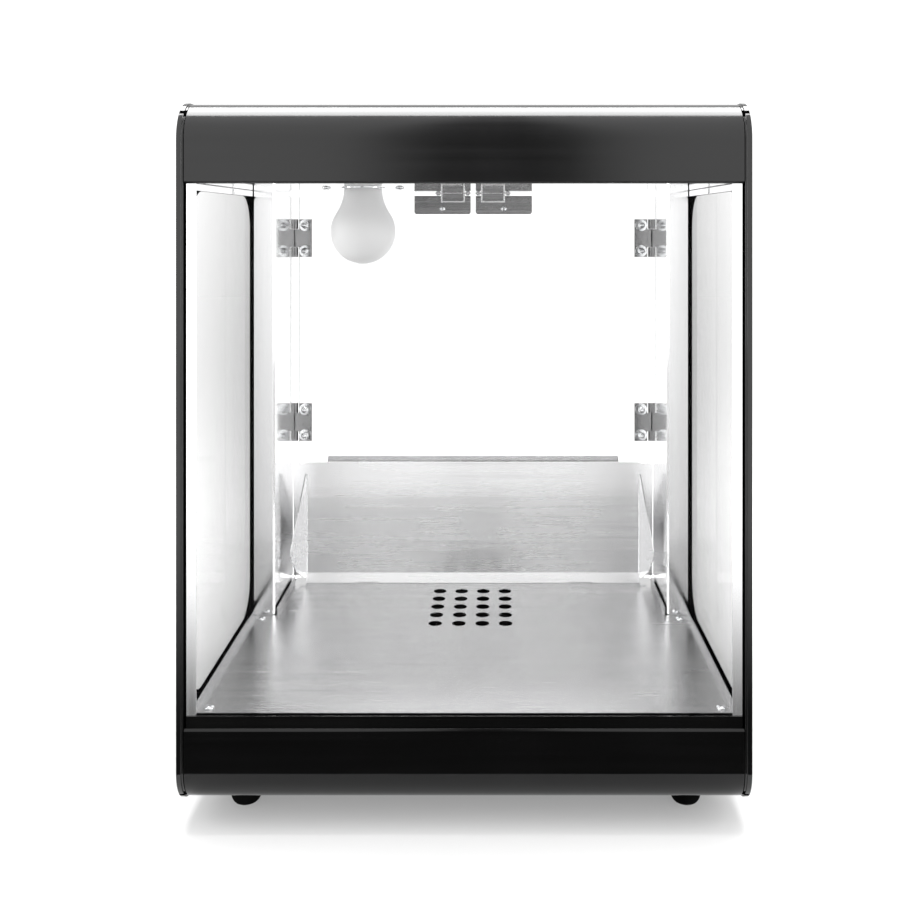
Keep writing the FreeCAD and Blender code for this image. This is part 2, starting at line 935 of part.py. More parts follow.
def base_pan():
    """Floor of the base, with upright sides, inward lips and the fan intake."""
    path = [
        (pan_half - pan_lip, pan_lip_top),
        (pan_half, pan_lip_top),
        (pan_half, pan_bottom),
        (-pan_half, pan_bottom),
        (-pan_half, pan_lip_top),
        (-pan_half + pan_lip, pan_lip_top),
    ]
    radii = [bend_radius] * 4
    length = rear_panel_depth - shell_inset - pan_front
    pan = bent_strip(path, radii, -black_sheet, in_front_view, Vector(0, length, 0))
    pan.translate(Vector(0, back(pan_front), 0))
    toe = box(
        -half_width, half_width, back(0), back(pan_toe_depth), 0, pan_toe_height,
    )
    cuts = [toe]
    notch_front = column_front - pan_gap
    notch_half = column_inner - pan_gap
    for side in (-1, 1):
        low = min(side * notch_half, side * half_width)
        cuts.append(box(
            low, low + half_width - notch_half, back(notch_front), back(depth),
            pan_lip_top - black_sheet - overrun / 2, pan_lip_top + overrun,
        ).common(box(-pan_half + black_sheet, pan_half - black_sheet, back(0), back(depth), 0, height)))
        for y in (tray_screw_front, tray_screw_rear):
            cuts.append(rod(
                screw_radius + screw_clearance,
                Vector(side * tray_screw_x, back(y), pan_lip_top - black_sheet - overrun),
                Vector(0, 0, 1), black_sheet + overrun * 2,
            ))
        for y in (foot_front, foot_rear):
            cuts.append(rod(
                foot_screw_radius + screw_clearance, Vector(side * foot_x, back(y), 0),
                Vector(0, 0, 1), pan_floor + overrun,
            ))
    return pan.cut(group(cuts + intake_slots()))


def intake_slots():
    """Slots under the fan, as long as its bore is wide there, parted by a web in the middle."""
    slots = []
    for index in range(vent_slot_count):
        offset = (index - (vent_slot_count - 1) / 2) * vent_slot_pitch
        reach = math.sqrt(fan_bore_radius ** 2 - offset ** 2) - vent_slot_width
        middle = back(air_field_centre) + offset
        for near, far in ((-reach, -vent_web_width / 2), (vent_web_width / 2, reach)):
            slots.append(box(
                near, far, middle - vent_slot_width / 2, middle + vent_slot_width / 2,
                pan_bottom - overrun, pan_floor + overrun,
            ))
    return slots


def rear_base_panel():
    """Flat rear of the base, with the cut-outs of the controls."""
    half = pan_half - black_sheet - shell_end_gap
    path = [
        (back(rear_panel_depth - rear_panel_lip), tray_under),
        (back(rear_panel_depth), tray_under),
        (back(rear_panel_depth), pan_floor),
        (back(rear_panel_depth - rear_panel_flange), pan_floor),
    ]
    panel = bent_strip(path, [bend_radius] * 2, -black_sheet, in_side_view, Vector(half * 2, 0, 0))
    panel.translate(Vector(-half, 0, 0))
    cuts = []
    y0 = back(rear_panel_depth - black_sheet - overrun)
    y1 = back(rear_panel_depth + overrun)
    for x in (heat_switch_x, light_switch_x):
        cuts.append(cutout(x, bezel_body_width, bezel_body_height, y0, y1))
    cuts.append(cutout(inlet_x, inlet_body_width, inlet_body_height, y0, y1))
    cuts.append(rod(
        thermostat_bushing_radius + cutout_gap, Vector(knob_x, y0, control_z), Vector(0, 1, 0),
        y1 - y0, disc_sides,
    ))
    for side in (-1, 1):
        near = side * (column_inner - pan_gap)
        far = side * half_width
        cuts.append(box(
            min(near, far), max(near, far), back(0), back(column_rear + pan_gap), 0, tray_under + overrun))
    return panel.cut(group(cuts))


def cutout(x, wide, high, y0, y1):
    """Block that opens the rear panel for a snap-in part."""
    half_wide = wide / 2 + cutout_gap
    half_high = high / 2 + cutout_gap
    return box(x - half_wide, x + half_wide, y0, y1, control_z - half_high, control_z + half_high)


def tray_outline(inset, z0, z1):
    """The stepped plan of the tray, drawn in by the inset, between two levels."""
    front = back(tray_front + inset)
    step = back(tray_step - inset)
    rear = back(rear_panel_depth - inset)
    wide = tray_front_half - inset
    narrow = tray_rear_half - inset
    points = [
        (-wide, front), (wide, front), (wide, step), (narrow, step),
        (narrow, rear), (-narrow, rear), (-narrow, step), (-wide, step),
    ]
    plate = prism(points, in_plan, Vector(0, 0, z1 - z0))
    plate.translate(Vector(0, 0, z0))
    return plate


def tray():
    """Steel floor: side rims, air holes, screw holes and slots for the guard."""
    body = tray_outline(0, tray_under, tray_top + tray_rim)
    body = body.cut(tray_outline(tray_rim_thick, tray_top, tray_top + tray_rim + overrun))
    top = tray_top + tray_rim + overrun
    cuts = [
        box(-half_width, half_width, back(0), back(tray_front + tray_rim_thick),
            tray_top + tray_front_rim, top),
        box(-half_width, half_width, back(tray_rim_end), back(depth), tray_top, top),
    ]
    for side in (-1, 1):
        inner = side * (tray_rear_half - tray_rim_thick)
        outer = side * (tray_front_half - tray_rim_thick)
        cuts.append(box(
            min(inner, outer), max(inner, outer), back(tray_step - tray_rim_thick - overrun),
            back(tray_step + overrun), tray_top, top,
        ))
        for y in (tray_screw_front, tray_screw_rear):
            cuts.append(rod(
                screw_radius + screw_clearance, Vector(side * tray_screw_x, back(y), tray_under - overrun),
                Vector(0, 0, 1), steel_sheet + overrun * 2,
            ))
        slot_inner = side * (tab_inner - tab_slot_gap)
        slot_outer = side * (tab_outer + tab_slot_gap)
        cuts.append(box(
            min(slot_inner, slot_outer), max(slot_inner, slot_outer),
            back(guard_plane - guard_kick_run - steel_sheet - tab_slot_gap),
            back(guard_plane - guard_kick_run + tab_slot_gap),
            tray_under - overrun, top,
        ))
    for row in range(air_hole_rows):
        for column in range(air_hole_columns):
            x = (column - (air_hole_columns - 1) / 2) * air_hole_pitch
            y = back(air_field_centre) + (row - (air_hole_rows - 1) / 2) * air_hole_pitch
            cuts.append(rod(
                air_hole_radius, Vector(x, y, tray_under - overrun),
                Vector(0, 0, 1), steel_sheet + overrun * 2, air_hole_sides,
            ))
    return body.cut(group(cuts))


def tray_screws():
    """Four pan-head screws that hold the tray to the lips of the base pan."""
    screws = []
    for x in (-tray_screw_x, tray_screw_x):
        for y in (tray_screw_front, tray_screw_rear):
            screws.append(pan_head(
                Vector(x, back(y), tray_top), Vector(0, 0, -1),
                pan_head_radius, pan_head_height, screw_radius, tray_screw_length,
            ))
    return group(screws)


def column():
    """Right rear column: a folded steel channel that carries the hood and the door hinges."""
    path = [
        (column_front_outer, back(column_front)),
        (column_inner, back(column_front)),
        (column_inner, back(column_rear)),
        (column_front_outer, back(column_rear)),
    ]
    channel = bent_strip(
        path, [column_bend, column_bend], -steel_sheet, in_plan, Vector(0, 0, soffit_z - pan_floor))
    channel.translate(Vector(0, 0, pan_floor))
    holes = []
    for middle in hinge_levels():
        for z in hinge_bolt_levels(middle):
            holes.append(rod(
                screw_radius + screw_clearance,
                Vector(hinge_screw_x, back(column_rear - steel_sheet - overrun), z),
                Vector(0, 1, 0), steel_sheet + overrun * 2,
            ))
    return channel.cut(group(holes))


def hinge_levels():
    """Middle heights of the two hinges of a door."""
    return [hinge_bottom_z, hinge_top_z]


def hinge_frame_leaf(middle):
    """Fixed leaf: a plate on the column with a knuckle at each end."""
    low = middle - hinge_height / 2
    high = middle + hinge_height / 2
    inner_low = middle - door_knuckle / 2 - knuckle_gap
    inner_high = middle + door_knuckle / 2 + knuckle_gap
    axis = Vector(hinge_axis_x, back(hinge_axis_depth), low)
    plate = box(frame_leaf_inner, frame_leaf_outer, back(leaf_front), back(leaf_back), low, high)
    ends = []
    for z0, z1 in ((low, inner_low), (inner_high, high)):
        ends.append(box(hinge_axis_x, frame_leaf_inner, back(leaf_front), back(leaf_back), z0, z1))
        ends.append(rod(
            barrel_radius, Vector(hinge_axis_x, back(hinge_axis_depth), z0), Vector(0, 0, 1),
            z1 - z0, head_sides,
        ))
    leaf = fused([plate] + ends)
    cuts = [rod(
        running_bore(pin_radius, 0, head_sides), axis - Vector(0, 0, overrun), Vector(0, 0, 1),
        hinge_height + overrun * 2, head_sides,
    )]
    for z in hinge_bolt_levels(middle):
        cuts.append(rod(
            screw_radius + screw_clearance, Vector(hinge_screw_x, back(leaf_front - overrun), z),
            Vector(0, 1, 0), leaf_thick + overrun * 2,
        ))
    return leaf.cut(group(cuts))


def hinge_door_leaf(middle):
    """Moving leaf: a plate on the door with the middle knuckle."""
    low = middle - hinge_height / 2
    high = middle + hinge_height / 2
    knuckle_low = middle - door_knuckle / 2
    knuckle_high = middle + door_knuckle / 2
    plate = box(door_leaf_inner, door_leaf_outer, back(leaf_front), back(leaf_back), low, high)
    neck = box(
        door_leaf_outer, hinge_axis_x, back(leaf_front), back(leaf_back), knuckle_low, knuckle_high)
    barrel = rod(
        barrel_radius, Vector(hinge_axis_x, back(hinge_axis_depth), knuckle_low),
        Vector(0, 0, 1), door_knuckle, head_sides,
    )
    leaf = fused([plate, neck, barrel])
    cuts = [rod(
        running_bore(pin_radius, pin_clearance, head_sides),
        Vector(hinge_axis_x, back(hinge_axis_depth), low - overrun),
        Vector(0, 0, 1), hinge_height + overrun * 2, head_sides,
    )]
    for z in hinge_bolt_levels(middle):
        cuts.append(rod(
            bolt_radius + bolt_clearance, Vector(hinge_bolt_x, back(leaf_front - overrun), z),
            Vector(0, 1, 0), leaf_thick + overrun * 2,
        ))
    return leaf.cut(group(cuts))


def hinge_bolt_levels(middle):
    """Heights of the two bolts of a door leaf."""
    return [middle - hinge_bolt_spread / 2, middle + hinge_bolt_spread / 2]


def hinge_pin(middle):
    """Pin through the three knuckles."""
    return round_pin(
        pin_radius, Vector(hinge_axis_x, back(hinge_axis_depth), middle - hinge_height / 2),
        Vector(0, 0, 1), hinge_height,
    )


def door():
    """Right door: a clear sheet with rounded corners and bolt holes."""
    panel = rounded_block(
        door_joint / 2, door_outer, back(leaf_back), back(door_back), door_bottom, door_top,
        door_corner, Vector(0, 1, 0),
    )
    places = [(catch_screw_x, door_top - catch_screw_drop)]
    for middle in hinge_levels():
        for z in hinge_bolt_levels(middle):
            places.append((hinge_bolt_x, z))
    holes = []
    for x, z in places:
        holes.append(rod(
            bolt_radius + bolt_clearance, Vector(x, back(leaf_back - overrun), z),
            Vector(0, 1, 0), door_thick + overrun * 2,
        ))
    return panel.cut(group(holes))


def door_washers():
    """Washers between the leaves and the domed nuts."""
    rings = []
    for middle in hinge_levels():
        for z in hinge_bolt_levels(middle):
            start = Vector(hinge_bolt_x, back(leaf_front - washer_thick), z)
            disc = rod(washer_radius, start, Vector(0, 1, 0), washer_thick, disc_sides)
            hole = rod(bolt_radius + bolt_clearance, start, Vector(0, 1, 0), washer_thick)
            rings.append(disc.cut(hole))
    return group(rings)


def domed_nut(x, z):
    """Hexagon nut with a domed cap that points to the front."""
    seat = leaf_front - washer_thick
    corner = nut_flats / 2 / math.cos(math.pi / 6)
    points = []
    for index in range(6):
        angle = math.pi / 3 * index
        points.append((x + corner * math.cos(angle), z + corner * math.sin(angle)))
    hexagon = prism(points, in_front_view, Vector(0, nut_hex_height, 0))
    hexagon.translate(Vector(0, back(seat - nut_hex_height), 0))
    dome_height = nut_height - nut_hex_height
    rings = [(nut_dome_radius * radius, dome_height * level) for radius, level in nut_dome_shares]
    dome = stack(rings, Vector(x, back(seat - nut_hex_height), z), Vector(0, -1, 0), head_sides)
    bore = rod(
        bolt_radius, Vector(x, back(seat - nut_hex_height), z), Vector(0, 1, 0), nut_hex_height + overrun)
    return fused([hexagon, dome]).cut(bore)


def door_nuts():
    """Domed nuts of one door."""
    nuts = []
    for middle in hinge_levels():
        for z in hinge_bolt_levels(middle):
            nuts.append(domed_nut(hinge_bolt_x, z))
    return group(nuts)


def door_bolts():
    """Bolts of one door, headed on its rear face."""
    length = door_thick + leaf_thick + washer_thick + nut_hex_height
    bolts = []
    for middle in hinge_levels():
        for z in hinge_bolt_levels(middle):
            bolts.append(pan_head(
                Vector(hinge_bolt_x, back(door_back), z), Vector(0, -1, 0),
                bolt_head_radius, bolt_head_height, bolt_radius, length,
            ))
    return group(bolts)


def hinge_screws():
    """Screws of the fixed leaves, headed on their rear face."""
    screws = []
    for side in (-1, 1):
        for middle in hinge_levels():
            for z in hinge_bolt_levels(middle):
                screws.append(pan_head(
                    Vector(side * hinge_screw_x, back(leaf_back), z), Vector(0, -1, 0),
                    bolt_head_radius, bolt_head_height, screw_radius, hinge_screw_length,
                ))
    return group(screws)


def catch_plate():
    """Right steel plate that the magnet holds, with rounded lower corners."""
    low = door_top - catch_plate_height
    plate = box(catch_plate_inner, catch_plate_outer, back(leaf_front), back(leaf_back), low, door_top)
    corners = []
    for edge in plate.Edges:
        ends = [vertex.Point for vertex in edge.Vertexes]
        if all(point.z < low + catch_plate_corner for point in ends) and abs(ends[0].x - ends[1].x) == 0:
            corners.append(edge)
    plate = plate.makeChamfer(catch_plate_corner * chamfer_share, corners)
    hole = rod(
        screw_radius + screw_clearance,
        Vector(catch_screw_x, back(leaf_front - overrun), door_top - catch_screw_drop),
        Vector(0, 1, 0), leaf_thick + overrun * 2,
    )
    return plate.cut(hole)


def catch_screw():
    """Screw of the right catch plate, headed on the inner side."""
    return pan_head(
        Vector(catch_screw_x, back(leaf_front), door_top - catch_screw_drop), Vector(0, 1, 0),
        catch_screw_head_radius, catch_screw_head_height, screw_radius, leaf_thick + door_thick,
    )


def magnet_catch():
    """Right magnet block under the soffit, with a sunk field in its front face."""
    rear = leaf_front - magnet_clearance
    front = rear - magnet_depth
    low = soffit_z - magnet_height
    block = box(magnet_inner, magnet_outer, back(front), back(rear), low, soffit_z)
    field = box(
        magnet_inner + magnet_frame, magnet_outer - magnet_frame,
        back(front - overrun), back(front + magnet_recess), low + magnet_frame, soffit_z - magnet_frame,
    )
    return block.cut(field)


def guard():
    """Folded crumb guard: kicked foot, sloped lip, flared side wings, ears and two tabs."""
    foot = tray_top + guard_foot_gap
    profile = [
        (back(guard_plane + guard_lip_run), guard_top + guard_lip_rise),
        (back(guard_plane), guard_top),
        (back(guard_plane), tray_top + guard_kick_height),
        (back(guard_plane - guard_kick_run), foot),
    ]
    panel = bent_strip(
        profile, [guard_bend, guard_bend], -steel_sheet, in_side_view, Vector(guard_half * 2, 0, 0))
    panel.translate(Vector(-guard_half, 0, 0))
    lip_zone = rounded_block(
        -guard_lip_half, guard_lip_half, back(guard_plane - wing_reach), back(depth),
        foot - overrun, guard_top + guard_lip_rise + overrun, guard_lip_corner, Vector(0, 1, 0),
    )
    below = box(
        -guard_half, guard_half, back(guard_plane - wing_reach), back(depth), foot - overrun, guard_top)
    panel = panel.common(lip_zone.fuse(below))
    front = guard_plane - steel_sheet
    plan = [
        (-guard_half - wing_flare, back(front - wing_reach)),
        (-guard_half, back(guard_plane)),
        (guard_half, back(guard_plane)),
        (guard_half + wing_flare, back(front - wing_reach)),
    ]
    band = bent_strip(
        plan, [guard_bend, guard_bend], -steel_sheet, in_plan, Vector(0, 0, wing_top - wing_foot))
    band.translate(Vector(0, 0, wing_foot))
    side_view = [
        (back(guard_plane + overrun), wing_top),
        (back(front - wing_root), wing_top),
        (back(front - wing_reach), wing_upper),
        (back(front - wing_reach), wing_lower),
        (back(front - wing_heel_reach), wing_heel),
        (back(front - wing_foot_reach), wing_foot),
        (back(guard_plane + overrun), wing_foot),
    ]
    shape = prism(side_view, in_side_view, Vector(width, 0, 0))
    shape.translate(Vector(-half_width, 0, 0))
    band = band.common(shape)
    pieces = [panel, band]
    for side in (-1, 1):
        inner = side * (guard_half - guard_bend)
        outer = side * ear_outer
        pieces.append(rounded_block(
            min(inner, outer), max(inner, outer), back(front), back(guard_plane),
            tray_top + guard_kick_height, guard_top - ear_drop, ear_corner, Vector(0, 1, 0),
        ))
        near = side * tab_inner
        far = side * tab_outer
        pieces.append(box(
            min(near, far), max(near, far),
            back(guard_plane - guard_kick_run - steel_sheet), back(guard_plane - guard_kick_run),
            tray_under - tab_length, foot + steel_sheet,
        ))
    return fused(pieces)


def foot(x, distance):
    """Rubber foot: tapered, rounded at the floor, with a well for its screw."""
    centre = Vector(x, back(distance), 0)
    rings = [(foot_radius * radius, pan_bottom * level) for radius, level in foot_profile_shares]
    body = stack(rings, centre, sides=disc_sides)
    well = rod(
        foot_well_radius, centre - Vector(0, 0, overrun), Vector(0, 0, 1), foot_well_depth + overrun)
    hole = rod(foot_screw_radius + screw_clearance, centre, Vector(0, 0, 1), pan_bottom + overrun)
    return body.cut(well).cut(hole)


def foot_places():
    """The four feet, as X and the distance behind the front."""
    return [(x, distance) for x in (-foot_x, foot_x) for distance in (foot_front, foot_rear)]


def feet():
    """The four rubber feet."""
    return group([foot(x, distance) for x, distance in foot_places()])


def foot_screws():
    """Screws up through the feet into the base pan."""
    screws = []
    for x, distance in foot_places():
        screws.append(pan_head(
            Vector(x, back(distance), foot_well_depth), Vector(0, 0, 1),
            foot_screw_head_radius, foot_screw_head, foot_screw_radius,
            pan_floor - foot_well_depth + foot_screw_rise,
        ))
    return group(screws)


def fan_bore(level, length):
    """The round passage of the fan, as a cutter."""
    return rod(fan_bore_radius, fan_centre(level), Vector(0, 0, 1), length, round_sides)


def fan_centre(level):
    """A point on the axis of the fan."""
    return Vector(0, back(air_field_centre), level)


def fan_housing():
    """Square fan frame with a round bore, four spokes, the stator and its bearing tube."""
    half = fan_size / 2
    centre_y = back(air_field_centre)
    frame = rounded_block(
        -half, half, centre_y - half, centre_y + half, pan_floor, fan_top, fan_corner, Vector(0, 0, 1))
    cuts = [fan_bore(pan_floor - overrun, fan_height + overrun * 2)]
    for x in (-fan_hole_spread / 2, fan_hole_spread / 2):
        for y in (-fan_hole_spread / 2, fan_hole_spread / 2):
            cuts.append(rod(
                fan_hole_radius, Vector(x, centre_y + y, pan_floor - overrun),
                Vector(0, 0, 1), fan_height + overrun * 2,
            ))
    frame = frame.cut(group(cuts))
    parts = [frame]
    for angle in (45, 135):
        spoke = box(
            -fan_bore_radius - spindle_radius, fan_bore_radius + spindle_radius,
            -fan_spoke_width / 2, fan_spoke_width / 2, pan_floor, pan_floor + fan_spoke_height,
        )
        spoke.rotate(Vector(0, 0, 0), Vector(0, 0, 1), angle)
        spoke.translate(Vector(0, centre_y, 0))
        parts.append(spoke)
    parts.append(rod(
        stator_radius, fan_centre(pan_floor), Vector(0, 0, 1), stator_height, shaft_sides))
    parts.append(rod(
        bearing_radius, fan_centre(pan_floor), Vector(0, 0, 1), bearing_height, disc_sides))
    bore = rod(
        running_bore(spindle_radius, spindle_clearance, disc_sides),
        fan_centre(pan_floor + fan_spoke_height), Vector(0, 0, 1), fan_height, disc_sides,
    )
    return fused(parts).cut(bore)


def blade():
    """One pitched fan blade, from inside the hub wall to past the tip circle."""
    slab = box(
        hub_radius - blade_sink, fan_bore_radius,
        -blade_chord / 2, blade_chord / 2, -blade_thick / 2, blade_thick / 2,
    )
    slab.rotate(Vector(0, 0, 0), Vector(1, 0, 0), blade_angle)
    return slab


def fan_rotor():
    """Hub cup with pitched blades and the spindle that turns in the bearing tube."""
    low = pan_floor + rotor_lift
    up = Vector(0, 0, 1)
    hub = rod(hub_radius, fan_centre(low), up, hub_height, shaft_sides)
    hollow = rod(
        hub_radius - hub_wall, fan_centre(low - overrun), up,
        hub_height - hub_wall + overrun, shaft_sides,
    )
    parts = [hub.cut(hollow)]
    tip_circle = Part.makeCylinder(fan_bore_radius - blade_tip_gap, height, fan_centre(0), up)
    for index in range(blade_count):
        piece = blade()
        piece.rotate(Vector(0, 0, 0), up, math.degrees(math.tau) * index / blade_count)
        piece.translate(fan_centre(low + hub_height / 2))
        parts.append(piece.common(tip_circle))
    spindle_low = pan_floor + fan_spoke_height + spindle_radius
    parts.append(rod(
        spindle_radius, fan_centre(spindle_low), up, low + hub_height - spindle_low, disc_sides))
    return fused(parts)


def air_duct():
    """Open-topped duct from the fan to the air holes, with holes for the element legs."""
    centre_y = back(air_field_centre)
    outer = box(
        -duct_half_x, duct_half_x, centre_y - duct_half_y, centre_y + duct_half_y, fan_top, tray_under)
    inner = box(
        -duct_half_x + duct_thick, duct_half_x - duct_thick,
        centre_y - duct_half_y + duct_thick, centre_y + duct_half_y - duct_thick,
        fan_top + duct_thick, tray_under + overrun,
    )
    cuts = [
        inner,
        fan_bore(fan_top - overrun, duct_thick + overrun * 2),
    ]
    for y in (element_line(0), element_line(element_passes - 1)):
        cuts.append(rod(
            element_radius + element_hole_gap, Vector(-duct_half_x - overrun, y, element_z),
            Vector(1, 0, 0), duct_thick + overrun * 2,
        ))
    return outer.cut(group(cuts))


def element_line(index):
    """Y of one straight pass of the element."""
    return back(air_field_centre) + (index - (element_passes - 1) / 2) * element_pitch


def heating_element():
    """Tubular element: straight passes joined by half turns, with two legs out of the duct."""
    leg_x = -duct_half_x - element_leg
    bend = element_pitch / 2
    points = [Vector(leg_x, element_line(0), element_z)]
    for index in range(element_passes - 1):
        side = 1 if index % 2 == 0 else -1
        middle = (element_line(index) + element_line(index + 1)) / 2
        for step in range(element_turn_steps + 1):
            angle = math.pi * (step / element_turn_steps - 1 / 2)
            points.append(Vector(
                side * (element_half + bend * math.cos(angle)),
                middle + bend * math.sin(angle),
                element_z,
            ))
    points.append(Vector(leg_x, element_line(element_passes - 1), element_z))
    outline = rod(element_radius, points[0], Vector(1, 0, 0), element_leg)
    start = min(outline.Faces, key=lambda face: face.CenterOfMass.x).OuterWire
    return Part.makePolygon(points).makePipeShell([start], True, False, 1)


def thermostat():
    """Thermostat behind the rear panel, with a threaded bushing round its spindle."""
    panel = rear_panel_depth - black_sheet
    body = rounded_block(
        knob_x - thermostat_width / 2, knob_x + thermostat_width / 2,
        back(panel - thermostat_depth), back(panel),
        control_z - thermostat_height / 2, control_z + thermostat_height / 2,
        bezel_corner, Vector(0, 1, 0),
    )
    bushing = rod(
        thermostat_bushing_radius, Vector(knob_x, back(panel), control_z), Vector(0, 1, 0),
        black_sheet + thermostat_bushing_length, disc_sides,
    )
    bore = rod(
        running_bore(shaft_radius, spindle_clearance, shaft_sides),
        Vector(knob_x, back(panel - shaft_sink), control_z), Vector(0, 1, 0),
        shaft_sink + black_sheet + thermostat_bushing_length + overrun, shaft_sides,
    )
    return fused([body, bushing]).cut(bore)


def thermostat_spindle():
    """Spindle from the thermostat into the knob."""
    start = rear_panel_depth - black_sheet - shaft_sink + spindle_clearance
    end = knob_seat() + shaft_in_knob
    return round_pin(shaft_radius, Vector(knob_x, back(start), control_z), Vector(0, 1, 0), end - start)


def knob_seat():
    """Distance behind the front at which the knob starts."""
    return rear_panel_depth + thermostat_bushing_length + knob_gap


def thermostat_knob():
    """Turned knob with a skirt and a raised grip bar."""
    seat = back(knob_seat())
    start = Vector(knob_x, seat, control_z)
    outward = Vector(0, 1, 0)
    skirt = rod(knob_radius, start, outward, knob_skirt_height, round_sides)
    cone = stack([
        (knob_top_radius, knob_skirt_height),
        (knob_top_radius - knob_grip_height, knob_height - knob_grip_height),
    ], start, outward)
    top = seat + knob_height - knob_grip_height
    grip = rounded_block(
        knob_x - knob_grip_width / 2, knob_x + knob_grip_width / 2,
        top - knob_grip_height, top + knob_grip_height,
        control_z - knob_top_radius + knob_grip_height * 2, control_z + knob_top_radius - knob_grip_margin,
        knob_grip_round, Vector(0, 1, 0),
    )
    bore = rod(
        running_bore(shaft_radius, 0, shaft_sides), Vector(knob_x, seat - overrun, control_z), outward,
        shaft_in_knob + overrun, shaft_sides,
    )
    return fused([skirt, cone, grip]).cut(bore)


def rocker_axis_depth():
    """Distance behind the front of the rocker pivots."""
    return rear_panel_depth + bezel_flange - rocker_pivot_sink


def switch_bezel(x):
    """Snap-in housing of a rocker switch, with a well and two pivot holes."""
    panel = rear_panel_depth
    flange = rounded_block(
        x - bezel_width / 2, x + bezel_width / 2, back(panel), back(panel + bezel_flange),
        control_z - bezel_height / 2, control_z + bezel_height / 2, bezel_corner, Vector(0, 1, 0),
    )
    body = box(
        x - bezel_body_width / 2, x + bezel_body_width / 2, back(panel - bezel_body_depth), back(panel),
        control_z - bezel_body_height / 2, control_z + bezel_body_height / 2,
    )
    well = box(
        x - well_width / 2, x + well_width / 2,
        back(panel + bezel_flange - well_depth), back(panel + bezel_flange + overrun),
        control_z - well_height / 2, control_z + well_height / 2,
    )
    half_span = rocker_width / 2 + trunnion_length + trunnion_end_gap
    pivot = rod(
        running_bore(trunnion_radius, trunnion_clearance, head_sides),
        Vector(x - half_span, back(rocker_axis_depth()), control_z), Vector(1, 0, 0),
        half_span * 2, head_sides,
    )
    return fused([flange, body]).cut(well).cut(pivot)


def rocker(x):
    """Rocker with two sloped faces and round ends, shown with its upper end pressed in."""
    reach = math.hypot(rocker_tip, rocker_half_height)
    back_half = math.sqrt(reach ** 2 - rocker_back ** 2)
    low_tip = in_side_view((rocker_tip, -rocker_half_height))
    high_tip = in_side_view((rocker_tip, rocker_half_height))
    low_heel = in_side_view((-rocker_back, -back_half))
    high_heel = in_side_view((-rocker_back, back_half))
    saddle = in_side_view((rocker_middle, 0))
    outline = Part.Wire([
        Part.LineSegment(low_tip, saddle).toShape(),
        Part.LineSegment(saddle, high_tip).toShape(),
        Part.Arc(high_tip, in_side_view((0, reach)), high_heel).toShape(),
        Part.LineSegment(high_heel, low_heel).toShape(),
        Part.Arc(low_heel, in_side_view((0, -reach)), low_tip).toShape(),
    ])
    body = Part.Face(outline).extrude(Vector(rocker_width, 0, 0))
    body.translate(Vector(-rocker_width / 2, 0, 0))
    length = rocker_width + trunnion_length * 2
    pivot = rod(trunnion_radius, Vector(-length / 2, 0, 0), Vector(1, 0, 0), length, head_sides)
    piece = fused([body, pivot])
    piece.rotate(Vector(0, 0, 0), Vector(1, 0, 0), rocker_tilt)
    piece.translate(Vector(x, back(rocker_axis_depth()), control_z))
    return piece


def power_inlet():
    """Three-pin appliance inlet: flange, housing, bevelled well and pins."""
    panel = rear_panel_depth
    flange = rounded_block(
        inlet_x - inlet_width / 2, inlet_x + inlet_width / 2, back(panel), back(panel + inlet_flange),
        control_z - inlet_height / 2, control_z + inlet_height / 2, bezel_corner, Vector(0, 1, 0),
    )
    body = box(
        inlet_x - inlet_body_width / 2, inlet_x + inlet_body_width / 2,
        back(panel - inlet_body_depth), back(panel),
        control_z - inlet_body_height / 2, control_z + inlet_body_height / 2,
    )
    half_wide = inlet_well_width / 2
    half_high = inlet_well_height / 2
    outline = [
        (-half_wide, -half_high), (half_wide, -half_high), (half_wide, half_high - inlet_bevel),
        (half_wide - inlet_bevel, half_high), (-half_wide + inlet_bevel, half_high),
        (-half_wide, half_high - inlet_bevel),
    ]
    well = prism(outline, in_front_view, Vector(0, inlet_well_depth + overrun, 0))
    well_floor = panel + inlet_flange - inlet_well_depth
    well.translate(Vector(inlet_x, back(well_floor), control_z))
    housing = fused([flange, body]).cut(well)
    pins = []
    for step, rise in ((-1, -inlet_pin_rise), (0, inlet_pin_rise), (1, -inlet_pin_rise)):
        x = inlet_x + step * inlet_pin_spread
        z = control_z + rise
        pins.append(box(
            x - inlet_pin_width / 2, x + inlet_pin_width / 2,
            back(well_floor - overrun), back(well_floor + inlet_pin_length),
            z - inlet_pin_height / 2, z + inlet_pin_height / 2,
        ))
    return fused([housing] + pins)


def terminal_block():
    """Stepped terminal strip on the base pan, with a screw well over each pole."""
    y = back(terminal_depth)
    x0 = terminal_x - terminal_width / 2
    outline = [
        (y - terminal_base / 2, pan_floor), (y + terminal_base / 2, pan_floor),
        (y + terminal_base / 2, pan_floor + terminal_height - terminal_step),
        (y + terminal_base / 2 - terminal_step, pan_floor + terminal_height),
        (y - terminal_base / 2 + terminal_step, pan_floor + terminal_height),
        (y - terminal_base / 2, pan_floor + terminal_height - terminal_step),
    ]
    block = prism(outline, in_side_view, Vector(terminal_width, 0, 0))
    block.translate(Vector(x0, 0, 0))
    wells = []
    pitch = terminal_width / terminal_pole_count
    for index in range(terminal_pole_count):
        wells.append(rod(
            terminal_screw_radius,
            Vector(x0 + (index + 0.5) * pitch, y, pan_floor + terminal_height - terminal_screw_sink),
            Vector(0, 0, 1), terminal_screw_sink + overrun,
        ))
    return block.cut(group(wells))


def both_sides(shapes):
    """The pieces of the right side and their mirror images."""
    return group(shapes + [mirrored(shape) for shape in shapes])


